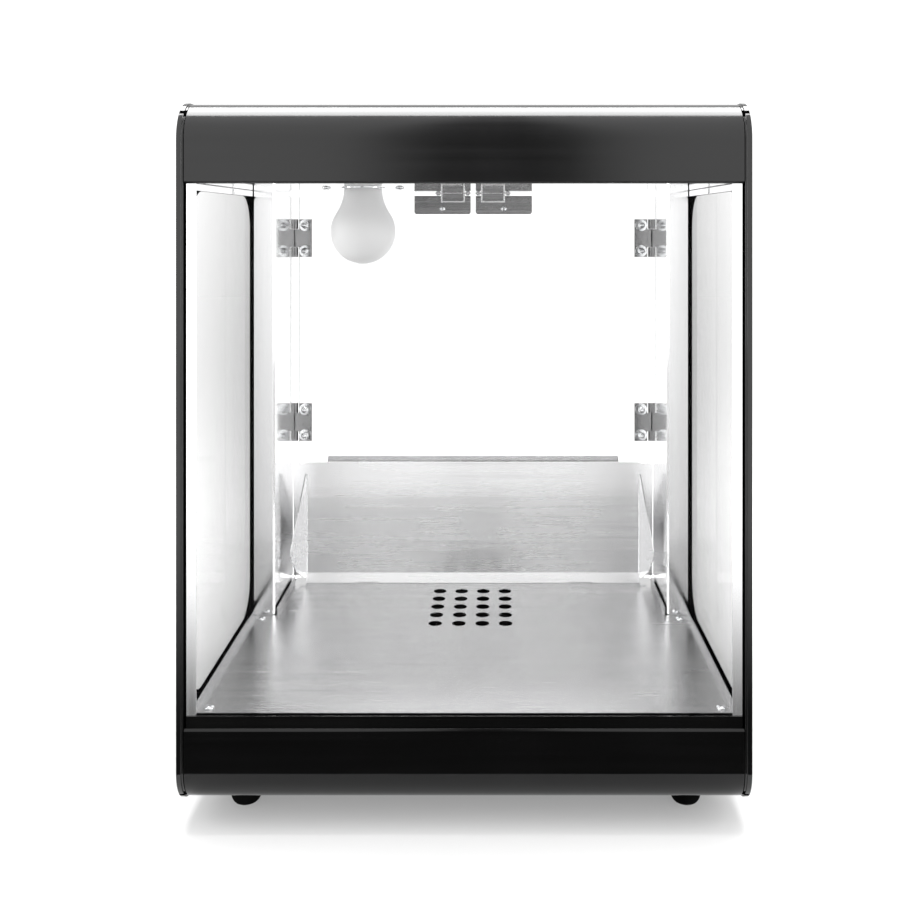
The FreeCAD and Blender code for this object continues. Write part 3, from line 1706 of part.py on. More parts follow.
def build():
    """Every piece by the name of its node."""
    right_door_leaves = group([hinge_door_leaf(middle) for middle in hinge_levels()])
    nodes = {
        "front_glass": front_glass(),
        "top_visor": visor(),
        "top_cover": top_cover(),
        "rear_header": rear_header(),
        "soffit": soffit(),
        "lamp_bracket": lamp_bracket(),
        "lamp_holder": lamp_holder(),
        "lamp_ring": lamp_ring(),
        "bulb": bulb(),
        "bulb_cap": bulb_cap(),
        "soffit_screws": soffit_screws(),
        "front_fascia": front_fascia(),
        "front_sill": front_sill(),
        "tray": tray(),
        "tray_screws": tray_screws(),
        "base_pan": base_pan(),
        "rear_base_panel": rear_base_panel(),
        "feet": feet(),
        "foot_screws": foot_screws(),
        "hinge_frame_leaves": both_sides([hinge_frame_leaf(middle) for middle in hinge_levels()]),
        "hinge_pins": both_sides([hinge_pin(middle) for middle in hinge_levels()]),
        "hinge_screws": hinge_screws(),
        "cover_screws": cover_screws(),
        "guard": guard(),
        "air_duct": air_duct(),
        "heating_element": heating_element(),
        "fan_housing": fan_housing(),
        "fan_rotor": fan_rotor(),
        "thermostat": thermostat(),
        "thermostat_spindle": thermostat_spindle(),
        "thermostat_knob": thermostat_knob(),
        "switch_bezels": group([switch_bezel(heat_switch_x), switch_bezel(light_switch_x)]),
        "heat_rocker": rocker(heat_switch_x),
        "light_rocker": rocker(light_switch_x),
        "power_inlet": power_inlet(),
        "terminal_block": terminal_block(),
    }
    paired = {
        "side_frame": side_frame(),
        "side_glass": side_glass(),
        "front_post": front_post(),
        "column": column(),
        "door": door(),
        "door_leaves": right_door_leaves,
        "door_washers": door_washers(),
        "door_nuts": door_nuts(),
        "door_bolts": door_bolts(),
        "catch_plate": catch_plate(),
        "catch_screw": catch_screw(),
        "magnet_catch": magnet_catch(),
    }
    for name, shape in paired.items():
        nodes["right_" + name] = shape
        nodes["left_" + name] = mirrored(shape)
    return nodes


os.makedirs("parts", exist_ok=True)
for name, shape in build().items():
    shape.exportStep("parts/" + name + ".step")
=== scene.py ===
"""Looks of the chip warmer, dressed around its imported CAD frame.

Sizes of the sub-assemblies are in millimetres and become metres as they enter a mesh.
X runs to the right, Y from the front to the rear and Z up, as in the frame.
"""
import json
import logging
import math
from collections.abc import Iterable, Sequence
from dataclasses import dataclass
from enum import Enum

import bmesh
import bpy
from mathutils import Matrix, Vector


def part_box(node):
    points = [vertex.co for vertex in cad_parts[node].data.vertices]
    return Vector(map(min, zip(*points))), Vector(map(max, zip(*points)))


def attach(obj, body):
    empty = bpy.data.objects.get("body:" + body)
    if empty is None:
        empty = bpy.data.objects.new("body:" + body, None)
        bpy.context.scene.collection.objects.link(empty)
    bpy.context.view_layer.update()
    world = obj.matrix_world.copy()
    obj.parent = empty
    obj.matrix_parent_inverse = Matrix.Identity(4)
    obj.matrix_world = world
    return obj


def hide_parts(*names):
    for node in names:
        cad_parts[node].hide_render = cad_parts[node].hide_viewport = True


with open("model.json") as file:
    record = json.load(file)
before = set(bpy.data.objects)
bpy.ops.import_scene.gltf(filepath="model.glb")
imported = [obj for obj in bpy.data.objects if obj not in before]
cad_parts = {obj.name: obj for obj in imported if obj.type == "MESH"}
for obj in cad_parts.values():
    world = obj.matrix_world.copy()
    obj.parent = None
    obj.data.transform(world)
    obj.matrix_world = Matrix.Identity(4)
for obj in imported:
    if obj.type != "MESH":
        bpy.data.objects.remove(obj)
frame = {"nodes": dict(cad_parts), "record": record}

Shape = bmesh.types.BMesh
Socket = bpy.types.NodeSocket
Pair = tuple[float, float]
Triple = tuple[float, float, float]

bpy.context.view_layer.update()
MM = 0.001
HALF_DEPTH = 188.0
WELD = 0.000003
AXIS_WELD = 0.0000005
WHOLE = (0.0, 1.0)
MIDDLE = (0.3, 0.7)
WHITE = (1.0, 1.0, 1.0, 1.0)
RELIEF = 0.0001
LOG = logging.getLogger("chip_warmer")
BODY_OF = {node: body for body, nodes in frame["record"]["behaviour"]["bodies"].items() for node in nodes}
SLOT_OF = {part["node"]: part["material_slot"] for part in frame["record"]["subparts"]}


class Way(Enum):
    """Directions along the axes of the cabinet."""

    REAR = (0.0, 1.0, 0.0)
    FRONT = (0.0, -1.0, 0.0)
    UP = (0.0, 0.0, 1.0)
    DOWN = (0.0, 0.0, -1.0)


class Grain(Enum):
    """Direction that a sheet was brushed or rolled in."""

    ACROSS = (1.0, 0.0, 0.0)
    UPRIGHT = (0.0, 0.0, 1.0)

    def stretch(self) -> Triple:
        """Factors that draw a pattern out along the grain."""
        return tuple(1.0 - 0.985 * share for share in self.value)


def behind(distance: float) -> float:
    """Y in metres of a place so many millimetres behind the front of the side frames."""
    return (distance - HALF_DEPTH) * MM


# Finishes


class Board:
    """The nodes of one material or of the surroundings."""

    def __init__(self, owner: bpy.types.Material | bpy.types.World) -> None:
        """Empties the nodes of a material or world and adds its output."""
        owner.use_nodes = True
        self.nodes = owner.node_tree.nodes
        self.links = owner.node_tree.links
        self.nodes.clear()
        kind = "ShaderNodeOutputWorld" if isinstance(owner, bpy.types.World) else "ShaderNodeOutputMaterial"
        self.output = self.nodes.new(kind)
        self.place = self.nodes.new("ShaderNodeTexCoord")

    def add(self, kind: str, **values: object) -> bpy.types.Node:
        """Adds a node, by its type without the ShaderNode prefix, and sets its properties."""
        node = self.nodes.new("ShaderNode" + kind)
        for key, value in values.items():
            setattr(node, key, value)
        return node

    def link(self, source: Socket, target: Socket) -> None:
        """Joins two sockets."""
        self.links.new(source, target)

    def fed(self, kind: str, **sockets: object) -> bpy.types.Node:
        """Adds a node and gives its inputs values or links them to their sources.

        Args:
            kind: Node type without its ShaderNode prefix.
            sockets: Value or source of each input, with underscores for spaces.

        Returns:
            The new node.
        """
        node = self.add(kind)
        for key, value in sockets.items():
            self.give(node.inputs[key.replace("_", " ")], value)
        return node

    def give(self, target: Socket, value: object) -> None:
        """Gives an input a value or links it to a source."""
        if isinstance(value, Socket):
            self.link(value, target)
        else:
            target.default_value = value

    def stretched(self, scale: Sequence[float] = (1.0, 1.0, 1.0)) -> Socket:
        """Object coordinates, times a factor along each axis."""
        return self.fed("Mapping", Scale=scale, Vector=self.place.outputs["Object"]).outputs["Vector"]

    def noise(self, vector: Socket, scale: float, detail: float = 3.0, roughness: float = 0.55) -> Socket:
        """Smooth random pattern from 0 to 1.

        Args:
            vector: Coordinates that it reads.
            scale: Features per metre.
            detail: Octaves.
            roughness: Strength of the finer octaves.

        Returns:
            The pattern.
        """
        node = self.fed("TexNoise", Scale=scale, Detail=detail, Roughness=roughness, Vector=vector)
        return node.outputs["Fac"]

    def span(self, value: Socket, start: Pair, end: Pair) -> Socket:
        """Moves a value from one range to another and keeps it inside."""
        node = self.fed(
            "MapRange", Value=value, From_Min=start[0], From_Max=start[1], To_Min=end[0], To_Max=end[1],
        )
        return node.outputs["Result"]

    def blend(self, share: Socket, first: Sequence[float], second: Sequence[float]) -> Socket:
        """Mixes two colours by the share of the second."""
        node = self.add("Mix", data_type="RGBA")
        ends = [socket for socket in node.inputs if socket.type == "RGBA"]
        for socket, colour in zip(ends, (first, second)):
            socket.default_value = (*colour, 1.0)
        self.link(share, node.inputs["Factor"])
        return [socket for socket in node.outputs if socket.type == "RGBA"][0]

    def joined(self, first: Socket | float, second: Socket | float, way: str = "MULTIPLY") -> Socket:
        """Combines two values or their sources by the sum that is named."""
        node = self.add("Math", operation=way)
        for socket, value in zip(node.inputs, (first, second)):
            self.give(socket, value)
        return node.outputs[0]

    def relief(self, height: Socket, strength: float, reach: float) -> Socket:
        """Normal with a bump from a height pattern, whose reach is in metres."""
        return self.fed("Bump", Strength=strength, Distance=reach, Height=height).outputs["Normal"]

    def along(self, axis: Sequence[float]) -> Socket:
        """A direction on the piece, as it lies in the scene."""
        turn = self.add("VectorTransform", vector_type="VECTOR", convert_from="OBJECT", convert_to="WORLD")
        turn.inputs[0].default_value = axis
        return turn.outputs[0]

    def mixed(self, share: Socket, first: Socket, second: Socket) -> Socket:
        """Mixes two shaders; the share is that of the second."""
        node = self.add("MixShader")
        for source, target in zip((share, first, second), node.inputs):
            self.link(source, target)
        return node.outputs[0]

    def show(self, shader: Socket) -> None:
        """Puts a shader on the output."""
        self.link(shader, self.output.inputs["Surface"])

    def surface(self, **sockets: object) -> None:
        """Shows a Principled shader with values or sources for its inputs."""
        self.show(self.fed("BsdfPrincipled", **sockets).outputs[0])


def grey(tone: float) -> Triple:
    """Red, green and blue of a neutral tone."""
    return (tone, tone, tone)


@dataclass(frozen=True)
class Finish:
    """A finish that pieces can take; each kind draws its own nodes."""

    name: str

    def draw(self, board: Board) -> None:
        """Draws the finish."""
        raise NotImplementedError

    def material(self) -> bpy.types.Material:
        """The finish's material, made once."""
        name = "finish_" + self.name
        found = bpy.data.materials.get(name)
        if found is None:
            found = bpy.data.materials.new(name)
            self.draw(Board(found))
        return found


@dataclass(frozen=True)
class Lacquer(Finish):
    """Black lacquer on steel, with faint rolling lines, dust and handling marks."""

    tone: float = 0.0016
    gloss: Pair = (0.07, 0.13)
    grain: Grain = Grain.ACROSS
    lines: float = 0.015
    shine: float = 1.52
    specular: float = 0.5

    def draw(self, board: Board) -> None:
        """Draws the lacquer."""
        cloud = board.noise(board.stretched(), 14.0, 5.0)
        lines = board.noise(board.stretched(self.grain.stretch()), 1100.0)
        bands = board.noise(board.stretched(self.grain.stretch()), 160.0, 4.0)
        peel = board.noise(board.stretched(), 300.0, 2.0)
        worn = (self.tone * 1.5, self.tone * 1.5, self.tone * 1.55)
        marks = board.span(board.joined(bands, cloud), (0.12, 0.42), WHOLE)
        colour = board.blend(marks, grey(self.tone), worn)
        rough = board.span(board.joined(cloud, bands, "ADD"), (0.7, 1.3), self.gloss)
        height = board.joined(lines, peel, "ADD")
        board.surface(
            Base_Color=colour, Roughness=rough, IOR=self.shine, Specular_IOR_Level=self.specular,
            Normal=board.relief(height, self.lines, RELIEF * 2),
        )


@dataclass(frozen=True)
class BrushedSteel(Finish):
    """Stainless sheet with brush lines along one direction, bands and faint smudges."""

    grain: Grain = Grain.ACROSS
    dark: float = 0.5
    light: float = 0.6
    rough: Pair = (0.2, 0.28)
    drawn: float = 0.7
    depth: float = 0.02

    def draw(self, board: Board) -> None:
        """Draws the brushed sheet."""
        along = board.stretched(self.grain.stretch())
        fine = board.noise(along, 1300.0, 3.0, 0.6)
        bands = board.noise(along, 260.0, 4.0, 0.65)
        cloud = board.noise(board.stretched(), 9.0, 4.0)
        soft = board.span(fine, (0.2, 0.8), MIDDLE)
        smudge = board.span(cloud, MIDDLE, (-0.1, 0.1))
        tone = board.joined(board.joined(soft, bands, "ADD"), smudge, "ADD")
        dark, light = ((shade, shade, shade * 1.005) for shade in (self.dark, self.light))
        colour = board.blend(board.span(tone, (0.6, 1.4), WHOLE), dark, light)
        rough = board.span(board.joined(bands, cloud, "ADD"), (0.7, 1.3), self.rough)
        board.surface(
            Base_Color=colour, Metallic=1.0, Roughness=rough, Anisotropic=self.drawn,
            Tangent=board.along(self.grain.value), Normal=board.relief(fine, self.depth, RELIEF * 2),
        )


@dataclass(frozen=True)
class PlatedSteel(Finish):
    """Zinc-plated or galvanised steel with a mottled sheen."""

    tone: Triple = (0.55, 0.56, 0.57)
    flake: float = 500.0
    rough: Pair = (0.22, 0.38)

    def draw(self, board: Board) -> None:
        """Draws the plating."""
        plain = board.stretched()
        flakes = board.fed("TexVoronoi", Scale=self.flake, Vector=plain)
        split = board.fed("SeparateColor", Color=flakes.outputs["Color"])
        cloud = board.noise(plain, 60.0, 4.0)
        mottle = board.joined(board.span(split.outputs[0], WHOLE, (0.25, 0.75)), cloud)
        darker = tuple(value * 0.74 for value in self.tone)
        colour = board.blend(board.span(mottle, (0.1, 0.42), WHOLE), darker, self.tone)
        board.surface(
            Base_Color=colour, Metallic=1.0, Roughness=board.span(mottle, (0.1, 0.45), self.rough),
            Normal=board.relief(cloud, 0.05, RELIEF * 2),
        )


@dataclass(frozen=True)
class Pane(Finish):
    """Clear pane with Fresnel gloss and wiping marks, tinted from its front end to its rear; a low tint at
    the rear is painted shade, darker towards the rear and the bottom.
    """

    # Tint at the front end and at the far end; a low far value paints shade into the pane.
    tint: Pair = (0.99, 0.985)
    haze: float = 0.01
    gloss: float = 1.5
    shade_span: Pair = (-0.4, 0.115)
    shade_slope: float = -0.5
    dust_tone: float = 0.8
    polish: float = 0.03

    def draw(self, board: Board) -> None:
        """Draws the pane."""
        spot = board.fed("SeparateXYZ", Vector=board.place.outputs["Object"])
        # Painted shade: the tint darkens towards the pane's rear and its bottom.
        shade_depth = board.joined(spot.outputs[1], board.joined(spot.outputs[2], self.shade_slope), "ADD")
        near, far = (grey(shade) for shade in self.tint)
        tint = board.blend(board.span(shade_depth, self.shade_span, WHOLE), near, far)
        clear = board.fed("BsdfTransparent", Color=tint)
        mirror = board.fed("BsdfGlossy", Roughness=self.polish)
        outer_face = board.joined(1.0, board.add("NewGeometry").outputs["Backfacing"], "SUBTRACT")
        gloss = board.joined(board.fed("Fresnel", IOR=self.gloss).outputs[0], outer_face)
        sheen = board.mixed(gloss, clear.outputs[0], mirror.outputs[0])
        dust = board.fed("BsdfDiffuse", Color=(*grey(self.dust_tone), 1.0))
        wipes = board.noise(board.stretched((3.0, 3.0, 0.6)), 40.0, 5.0)
        marks = board.span(wipes, (0.45, 0.75), (0.0, self.haze))
        board.show(board.mixed(marks, sheen, dust.outputs[0]))


@dataclass(frozen=True)
class GroundGlass(Finish):
    """Ground edge of a pane."""

    tone: Triple = (0.2, 0.22, 0.22)

    def draw(self, board: Board) -> None:
        """Draws the ground edge."""
        grind = board.noise(board.stretched(), 700.0)
        lighter = tuple(value * 1.35 for value in self.tone)
        board.surface(
            Base_Color=board.blend(grind, self.tone, lighter),
            Roughness=board.span(grind, MIDDLE, (0.18, 0.36)), Normal=board.relief(grind, 0.05, RELIEF),
        )


@dataclass(frozen=True)
class FrostedGlass(Finish):
    """Etched white glass of the bulb."""

    tone: float = 0.96

    def draw(self, board: Board) -> None:
        """Draws the etched glass."""
        etch = board.noise(board.stretched(), 900.0)
        colour = board.blend(etch, grey(self.tone), grey(self.tone * 1.04))
        board.surface(
            Base_Color=colour, Roughness=board.span(etch, MIDDLE, (0.42, 0.58)),
            Subsurface_Weight=0.6, Subsurface_Radius=grey(0.02), Subsurface_Scale=0.5,
            Normal=board.relief(etch, 0.04, RELIEF),
        )


@dataclass(frozen=True)
class Moulding(Finish):
    """Moulded plastic, rubber or glazed ceramic with a fine skin."""

    tone: Triple = (0.02, 0.02, 0.02)
    rough: Pair = (0.35, 0.5)
    skin: float = 1400.0
    relief: float = 0.08
    coat: float = 0.0
    shine: float = 1.45

    def draw(self, board: Board) -> None:
        """Draws the moulding."""
        plain = board.stretched()
        pebble = board.noise(plain, self.skin, 2.0)
        cloud = board.noise(plain, 45.0, 4.0)
        lighter = tuple(min(1.0, value * 1.25 + 0.004) for value in self.tone)
        colour = board.blend(board.span(cloud, (0.35, 0.7), WHOLE), self.tone, lighter)
        board.surface(
            Base_Color=colour, Roughness=board.span(cloud, MIDDLE, self.rough),
            IOR=self.shine, Coat_Weight=self.coat, Coat_Roughness=0.06,
            Normal=board.relief(pebble, self.relief, RELIEF),
        )


@dataclass(frozen=True)
class HotSheath(Finish):
    """Dark oxidised sheath of the heating element, with straw heat tints."""

    dark: Triple = (0.008, 0.007, 0.008)
    straw: Triple = (0.02, 0.014, 0.01)

    def draw(self, board: Board) -> None:
        """Draws the sheath."""
        plain = board.stretched()
        tint = board.noise(plain, 35.0, 4.0)
        scale = board.noise(plain, 800.0)
        colour = board.blend(board.span(tint, (0.35, 0.7), WHOLE), self.dark, self.straw)
        board.surface(
            Base_Color=colour, IOR=1.1, Roughness=board.span(scale, MIDDLE, (0.42, 0.66)),
            Normal=board.relief(scale, 0.15, RELIEF),
        )


FRAME_LACQUER = Lacquer("frame_lacquer", grain=Grain.UPRIGHT)
# Dull black without reflections, put on the frames' inner faces: painted shade.
INNER_SHADE_LACQUER = Lacquer("inner_shade_lacquer", 0.001, (0.6, 0.7), Grain.UPRIGHT, 0.015, 1.2, 0.0)
HOOD_LACQUER = Lacquer("hood_lacquer", tone=0.007, gloss=(0.1, 0.16), shine=1.45)
BASE_LACQUER = Lacquer("base_lacquer", shine=1.36)
TRAY_STEEL = BrushedSteel("tray_steel", dark=0.46, light=0.56)
# Guard steel near white, far lighter than the tray's: painted light on the guard.
LIT_GUARD_STEEL = BrushedSteel("lit_guard_steel", dark=0.92, light=0.97, rough=(0.22, 0.3), depth=0.008)
COLUMN_STEEL = BrushedSteel("column_steel", Grain.UPRIGHT, 0.82, 0.9, (0.1, 0.16), 0.4, 0.01)
POST_STEEL = BrushedSteel("post_steel", Grain.UPRIGHT, 0.88, 0.95, (0.1, 0.16), 0.4, 0.01)
LEAF_STEEL = BrushedSteel("leaf_steel", Grain.UPRIGHT, 0.2, 0.32, (0.16, 0.26))
CATCH_STEEL = BrushedSteel("catch_steel", Grain.ACROSS, 0.18, 0.28, (0.2, 0.3))
CASE_STEEL = BrushedSteel("case_steel", Grain.ACROSS, 0.8, 0.88, (0.2, 0.3), 0.3)
# Polished ceiling steel near white: painted light on the soffit.
LIT_MIRROR_STEEL = BrushedSteel("lit_mirror_steel", Grain.ACROSS, 0.88, 0.94, (0.03, 0.07), 0.3, 0.008)
ZINC = PlatedSteel("zinc_plate", (0.8, 0.81, 0.82), 500.0, (0.14, 0.24))
GALVANISED = PlatedSteel("galvanised_sheet", (0.5, 0.52, 0.53), 130.0, (0.3, 0.5))
CAP_METAL = PlatedSteel("cap_metal", (0.72, 0.71, 0.68), 700.0, (0.2, 0.34))
# The side panes fall from 0.91 to 0.45: painted shade towards their rear and bottom.
SHADED_SIDE_PANE = Pane("side_pane", (0.91, 0.45), 0.01, 1.05)
FRONT_PANE = Pane("front_pane", (0.995, 0.995), 0.004, 1.12)
DOOR_PANE = Pane("door_pane", (0.995, 0.995), 0.006, 1.3)
GROUND_EDGE = GroundGlass("ground_edge")
BULB_GLASS = FrostedGlass("bulb_glass")
CERAMIC = Moulding("ceramic_glaze", (0.78, 0.76, 0.7), (0.12, 0.2), 500.0, 0.02, 0.6)
WHITE_PLASTIC = Moulding("white_plastic", (0.72, 0.72, 0.7), (0.4, 0.52), 900.0, 0.05)
RUBBER = Moulding("black_rubber", grey(0.002), (0.55, 0.7), 1100.0, 0.12, shine=1.05)
# Near-black duct sheet with barely any reflection: painted shade that keeps the floor holes dark.
DUCT_SHADE_SHEET = Moulding("duct_shade_sheet", grey(0.003), (0.6, 0.75), 300.0, 0.1, shine=1.05)
BLACK_PLASTIC = Moulding("black_plastic", grey(0.012), (0.26, 0.36), 1300.0, 0.05)
MATTE_PLASTIC = Moulding("matte_plastic", grey(0.018), (0.5, 0.64), 1100.0, 0.12)
SHEATH = HotSheath("hot_sheath")

SLOT_FINISH: dict[str, Finish] = {
    "black_gloss": BASE_LACQUER, "side_pane": SHADED_SIDE_PANE, "front_pane": FRONT_PANE,
    "door_pane": DOOR_PANE, "polished_steel": LIT_MIRROR_STEEL, "brushed_steel": TRAY_STEEL,
    "zinc_steel": ZINC, "galvanised": GALVANISED, "frosted_bulb": BULB_GLASS, "lamp_cap": CAP_METAL,
    "ceramic": CERAMIC, "white_plastic": WHITE_PLASTIC, "black_rubber": RUBBER,
    "black_plastic": BLACK_PLASTIC, "matte_black_plastic": MATTE_PLASTIC, "dark_element": SHEATH,
}


# Shaping

FACE_SHARE = 0.9
FLAT_FOLD = 0.6
SHARP_FOLD = 28.0
LEVEL = 0.00001
ON_RIM = 0.00004
CREASE = 40.0
FASTENER_CREASE = 50.0


def as_mesh(shape: Shape, name: str) -> bpy.types.Mesh:
    """The mesh of a shape, which is used up."""
    mesh = bpy.data.meshes.new(name)
    shape.to_mesh(mesh)
    shape.free()
    return mesh


def placed(name: str, data: bpy.types.ID) -> bpy.types.Object:
    """An object of the scene with a mesh, light or camera."""
    thing = bpy.data.objects.new(name, data)
    bpy.context.scene.collection.objects.link(thing)
    return thing


def copied(node: str) -> Shape:
    """A merged copy of a CAD node's mesh, with its flat faces whole."""
    shape = bmesh.new()
    shape.from_mesh(frame["nodes"][node].data)
    bmesh.ops.remove_doubles(shape, verts=shape.verts, dist=WELD)
    bmesh.ops.dissolve_limit(
        shape, angle_limit=math.radians(FLAT_FOLD), verts=shape.verts, edges=shape.edges,
        use_dissolve_boundaries=False,
    )
    return shape


def softened(shape: Shape, width: float, segments: int = 2) -> None:
    """Rounds the sharp edges of a shape.

    Args:
        shape: The shape, changed in place.
        width: Width of the rounding, in millimetres.
        segments: Steps of the rounding.
    """
    fold = math.radians(SHARP_FOLD)
    sharp = [edge for edge in shape.edges if edge.is_manifold and edge.calc_face_angle(0.0) > fold]
    bmesh.ops.bevel(
        shape, geom=sharp, offset=width * MM, offset_type="OFFSET", segments=segments,
        profile=0.5, affect="EDGES", clamp_overlap=True, material=-1,
    )


def rounded_rims(shape: Shape, centres: Iterable[Pair], radius: float, cuts: int) -> None:
    """Turns the many-sided rims of upright holes into true circles.

    Args:
        shape: The shape, changed in place.
        centres: X and Y of each hole, in metres.
        radius: Radius of the holes, in millimetres.
        cuts: New points on each side of a rim.
    """
    for x, y in centres:
        middle = Vector((x, y))
        rim = []
        for edge in shape.edges:
            ends = [vert.co for vert in edge.verts]
            level = abs(ends[0].z - ends[1].z) < LEVEL
            if level and all(abs((end.xy - middle).length - radius * MM) < ON_RIM for end in ends):
                rim.append(edge)
        made = bmesh.ops.subdivide_edges(shape, edges=rim, cuts=cuts, use_grid_fill=False)
        for vert in made["geom_inner"]:
            if isinstance(vert, bmesh.types.BMVert):
                outward = (vert.co.xy - middle).normalized() * radius * MM
                vert.co.x, vert.co.y = x + outward.x, y + outward.y


def turned(profile: Sequence[Pair], steps: int, closed: bool = False) -> Shape:
    """A form turned around the upright axis.

    Args:
        profile: Radius and height of each point, in millimetres.
        steps: Sides of the round.
        closed: Whether the profile is a ring that goes back to its start.

    Returns:
        The turned form.
    """
    shape = bmesh.new()
    points = [shape.verts.new((radius * MM, 0.0, height * MM)) for radius, height in profile]
    pairs = list(zip(points, points[1:]))
    if closed:
        pairs.append((points[-1], points[0]))
    edges = [shape.edges.new(pair) for pair in pairs]
    bmesh.ops.spin(
        shape, geom=points + edges, cent=(0.0, 0.0, 0.0), axis=Way.UP.value, dvec=(0.0, 0.0, 0.0),
        angle=math.tau, steps=steps, use_merge=True, use_duplicate=False,
    )
    bmesh.ops.remove_doubles(shape, verts=shape.verts, dist=AXIS_WELD)
    bmesh.ops.recalc_face_normals(shape, faces=shape.faces)
    return shape


def block(low: Sequence[float], high: Sequence[float], rounding: float = 0.0) -> Shape:
    """A block between two corners in metres, with edges rounded by so many millimetres."""
    shape = bmesh.new()
    bmesh.ops.create_cube(shape, size=1.0)
    size = Vector(high) - Vector(low)
    bmesh.ops.scale(shape, vec=size, verts=shape.verts)
    bmesh.ops.translate(shape, vec=(Vector(high) + Vector(low)) / 2, verts=shape.verts)
    if rounding > 0.0:
        softened(shape, rounding)
    return shape


def aimed(shape: Shape, place: Sequence[float], way: Way, turn: float = 0.0) -> Shape:
    """Moves a form so that its upright axis points another way.

    Args:
        shape: The form, changed in place.
        place: New origin, in metres.
        way: New direction of the axis.
        turn: Turn around the axis first, in degrees.

    Returns:
        The same form.
    """
    swing = Vector(Way.UP.value).rotation_difference(Vector(way.value)).to_matrix().to_4x4()
    move = Matrix.Translation(Vector(place)) @ swing @ Matrix.Rotation(math.radians(turn), 4, "Z")
    bmesh.ops.transform(shape, matrix=move, verts=shape.verts)
    return shape


def gathered(shapes: Iterable[Shape]) -> Shape:
    """Several shapes, used up, as one mesh of separate shells."""
    whole = bmesh.new()
    for shape in shapes:
        carrier = as_mesh(shape, "carrier")
        whole.from_mesh(carrier)
        bpy.data.meshes.remove(carrier)
    return whole


def cut_or_joined(body: Shape, tool: Shape, way: str = "DIFFERENCE") -> Shape:
    """Cuts a body with a tool (DIFFERENCE) or joins them (UNION); both are used up."""
    things = [placed("cut", as_mesh(shape, "cut")) for shape in (body, tool)]
    step = things[0].modifiers.new("cut", "BOOLEAN")
    step.operation, step.object = way, things[1]
    step.solver, step.use_self = "EXACT", True
    done = bmesh.new()
    done.from_mesh(things[0].evaluated_get(bpy.context.evaluated_depsgraph_get()).to_mesh())
    for thing in things:
        mesh = thing.data
        bpy.data.objects.remove(thing)
        bpy.data.meshes.remove(mesh)
    return done


def islands(node: str) -> list[tuple[Vector, Vector]]:
    """Lowest and highest corner of each separate solid of a node, from left to right."""
    shape = bmesh.new()
    shape.from_mesh(frame["nodes"][node].data)
    bmesh.ops.remove_doubles(shape, verts=shape.verts, dist=WELD)
    left = set(shape.verts)
    found = []
    while left:
        queue, seen = [left.pop()], []
        while queue:
            vert = queue.pop()
            seen.append(vert.co.copy())
            for edge in vert.link_edges:
                other = edge.other_vert(vert)
                if other in left:
                    left.remove(other)
                    queue.append(other)
        low = Vector([min(point[axis] for point in seen) for axis in range(3)])
        high = Vector([max(point[axis] for point in seen) for axis in range(3)])
        found.append((low, high))
    shape.free()
    return sorted(found, key=lambda corners: tuple(round(value, 4) for value in corners[0]))


def seated(name: str, shape: Shape, finish: Finish, body: str,
           stands_for: Sequence[str] = (), crease: float = CREASE) -> bpy.types.Object:
    """Makes a piece from a shape and puts it on its body.

    Args:
        name: Name of the piece.
        shape: The shape, used up.
        finish: Finish of the piece.
        body: CAD body that it rides on.
        stands_for: CAD nodes that it replaces.
        crease: Smallest fold that stays sharp in shading, in degrees.

    Returns:
        The piece.
    """
    mesh = as_mesh(shape, name)
    mesh.shade_smooth()
    mesh.set_sharp_from_angle(angle=math.radians(crease))
    mesh.materials.append(finish.material())
    piece = placed(name, mesh)
    weights = piece.modifiers.new("weights", "WEIGHTED_NORMAL")
    weights.keep_sharp = True
    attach(piece, body)
    if stands_for:
        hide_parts(*stands_for)
    LOG.info("%s: %d faces on %s", name, len(mesh.polygons), body)
    return piece


def replaced(node: str, shape: Shape, finish: Finish | None = None,
             crease: float = CREASE) -> bpy.types.Object:
    """Puts a shape in the place of a CAD node, on its body and with its slot.

    Args:
        node: Name of the CAD node.
        shape: The shape, used up.
        finish: Finish of the piece, or None for the one of its slot.
        Puts a shape in the place of a CAD node, on its body.

    Returns:
        The piece.
    """
    slot = SLOT_OF[node]
    finish = finish or SLOT_FINISH[slot]
    return seated(node + "_finished", shape, finish, BODY_OF[node], (node,), crease)


def refined(node: str, width: float, segments: int = 2, finish: Finish | None = None,
            crease: float = CREASE) -> bpy.types.Object:
    """A rounded and finished copy of a CAD node, in its place.

    Args:
        node: Name of the CAD node.
        width: Width of the edge rounding, in millimetres.
        segments: Steps of the rounding.
        finish: Finish of the piece, or None for the one of its slot.
        crease: Smallest fold that stays sharp in shading, in degrees.

    Returns:
        The piece.
    """
    shape = copied(node)
    softened(shape, width, segments)
    return replaced(node, shape, finish, crease)


def glazed(node: str, width: float) -> None:
    """A pane with clear faces and ground edges, rounded by a width in millimetres."""
    low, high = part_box(node)
    thin_way = min(range(3), key=lambda axis: high[axis] - low[axis])
    pane = refined(node, width).data
    pane.materials.append(GROUND_EDGE.material())
    for face in pane.polygons:
        face.material_index = int(abs(face.normal[thin_way]) < FACE_SHARE)


# Fasteners


class Fastener:
    """A small piece that repeats; its seat is at the origin and it points up."""

    rise: float
    turns: tuple[float, ...] = (0.0,)

    def shape(self) -> Shape:
        """The piece at the origin."""
        raise NotImplementedError

    def set_of(self, node: str, way: Way = Way.FRONT, finish: Finish | None = None) -> None:
        """Puts one in place of each solid of a node, each with its own turn.

        Args:
            node: CAD node of the fasteners.
            way: Direction that they point in.
            finish: Their finish, or None for the one of their slot.
        """
        axis = Vector(way.value)
        first = self.shape()
        made = []
        for index, (low, high) in enumerate(islands(node)):
            half_span = abs((high - low).dot(axis)) / 2
            seat = (low + high) / 2 + axis * (half_span - self.rise * MM)
            made.append(aimed(first.copy(), seat, way, self.turns[index % len(self.turns)]))
        first.free()
        replaced(node, gathered(made), finish, FASTENER_CREASE)


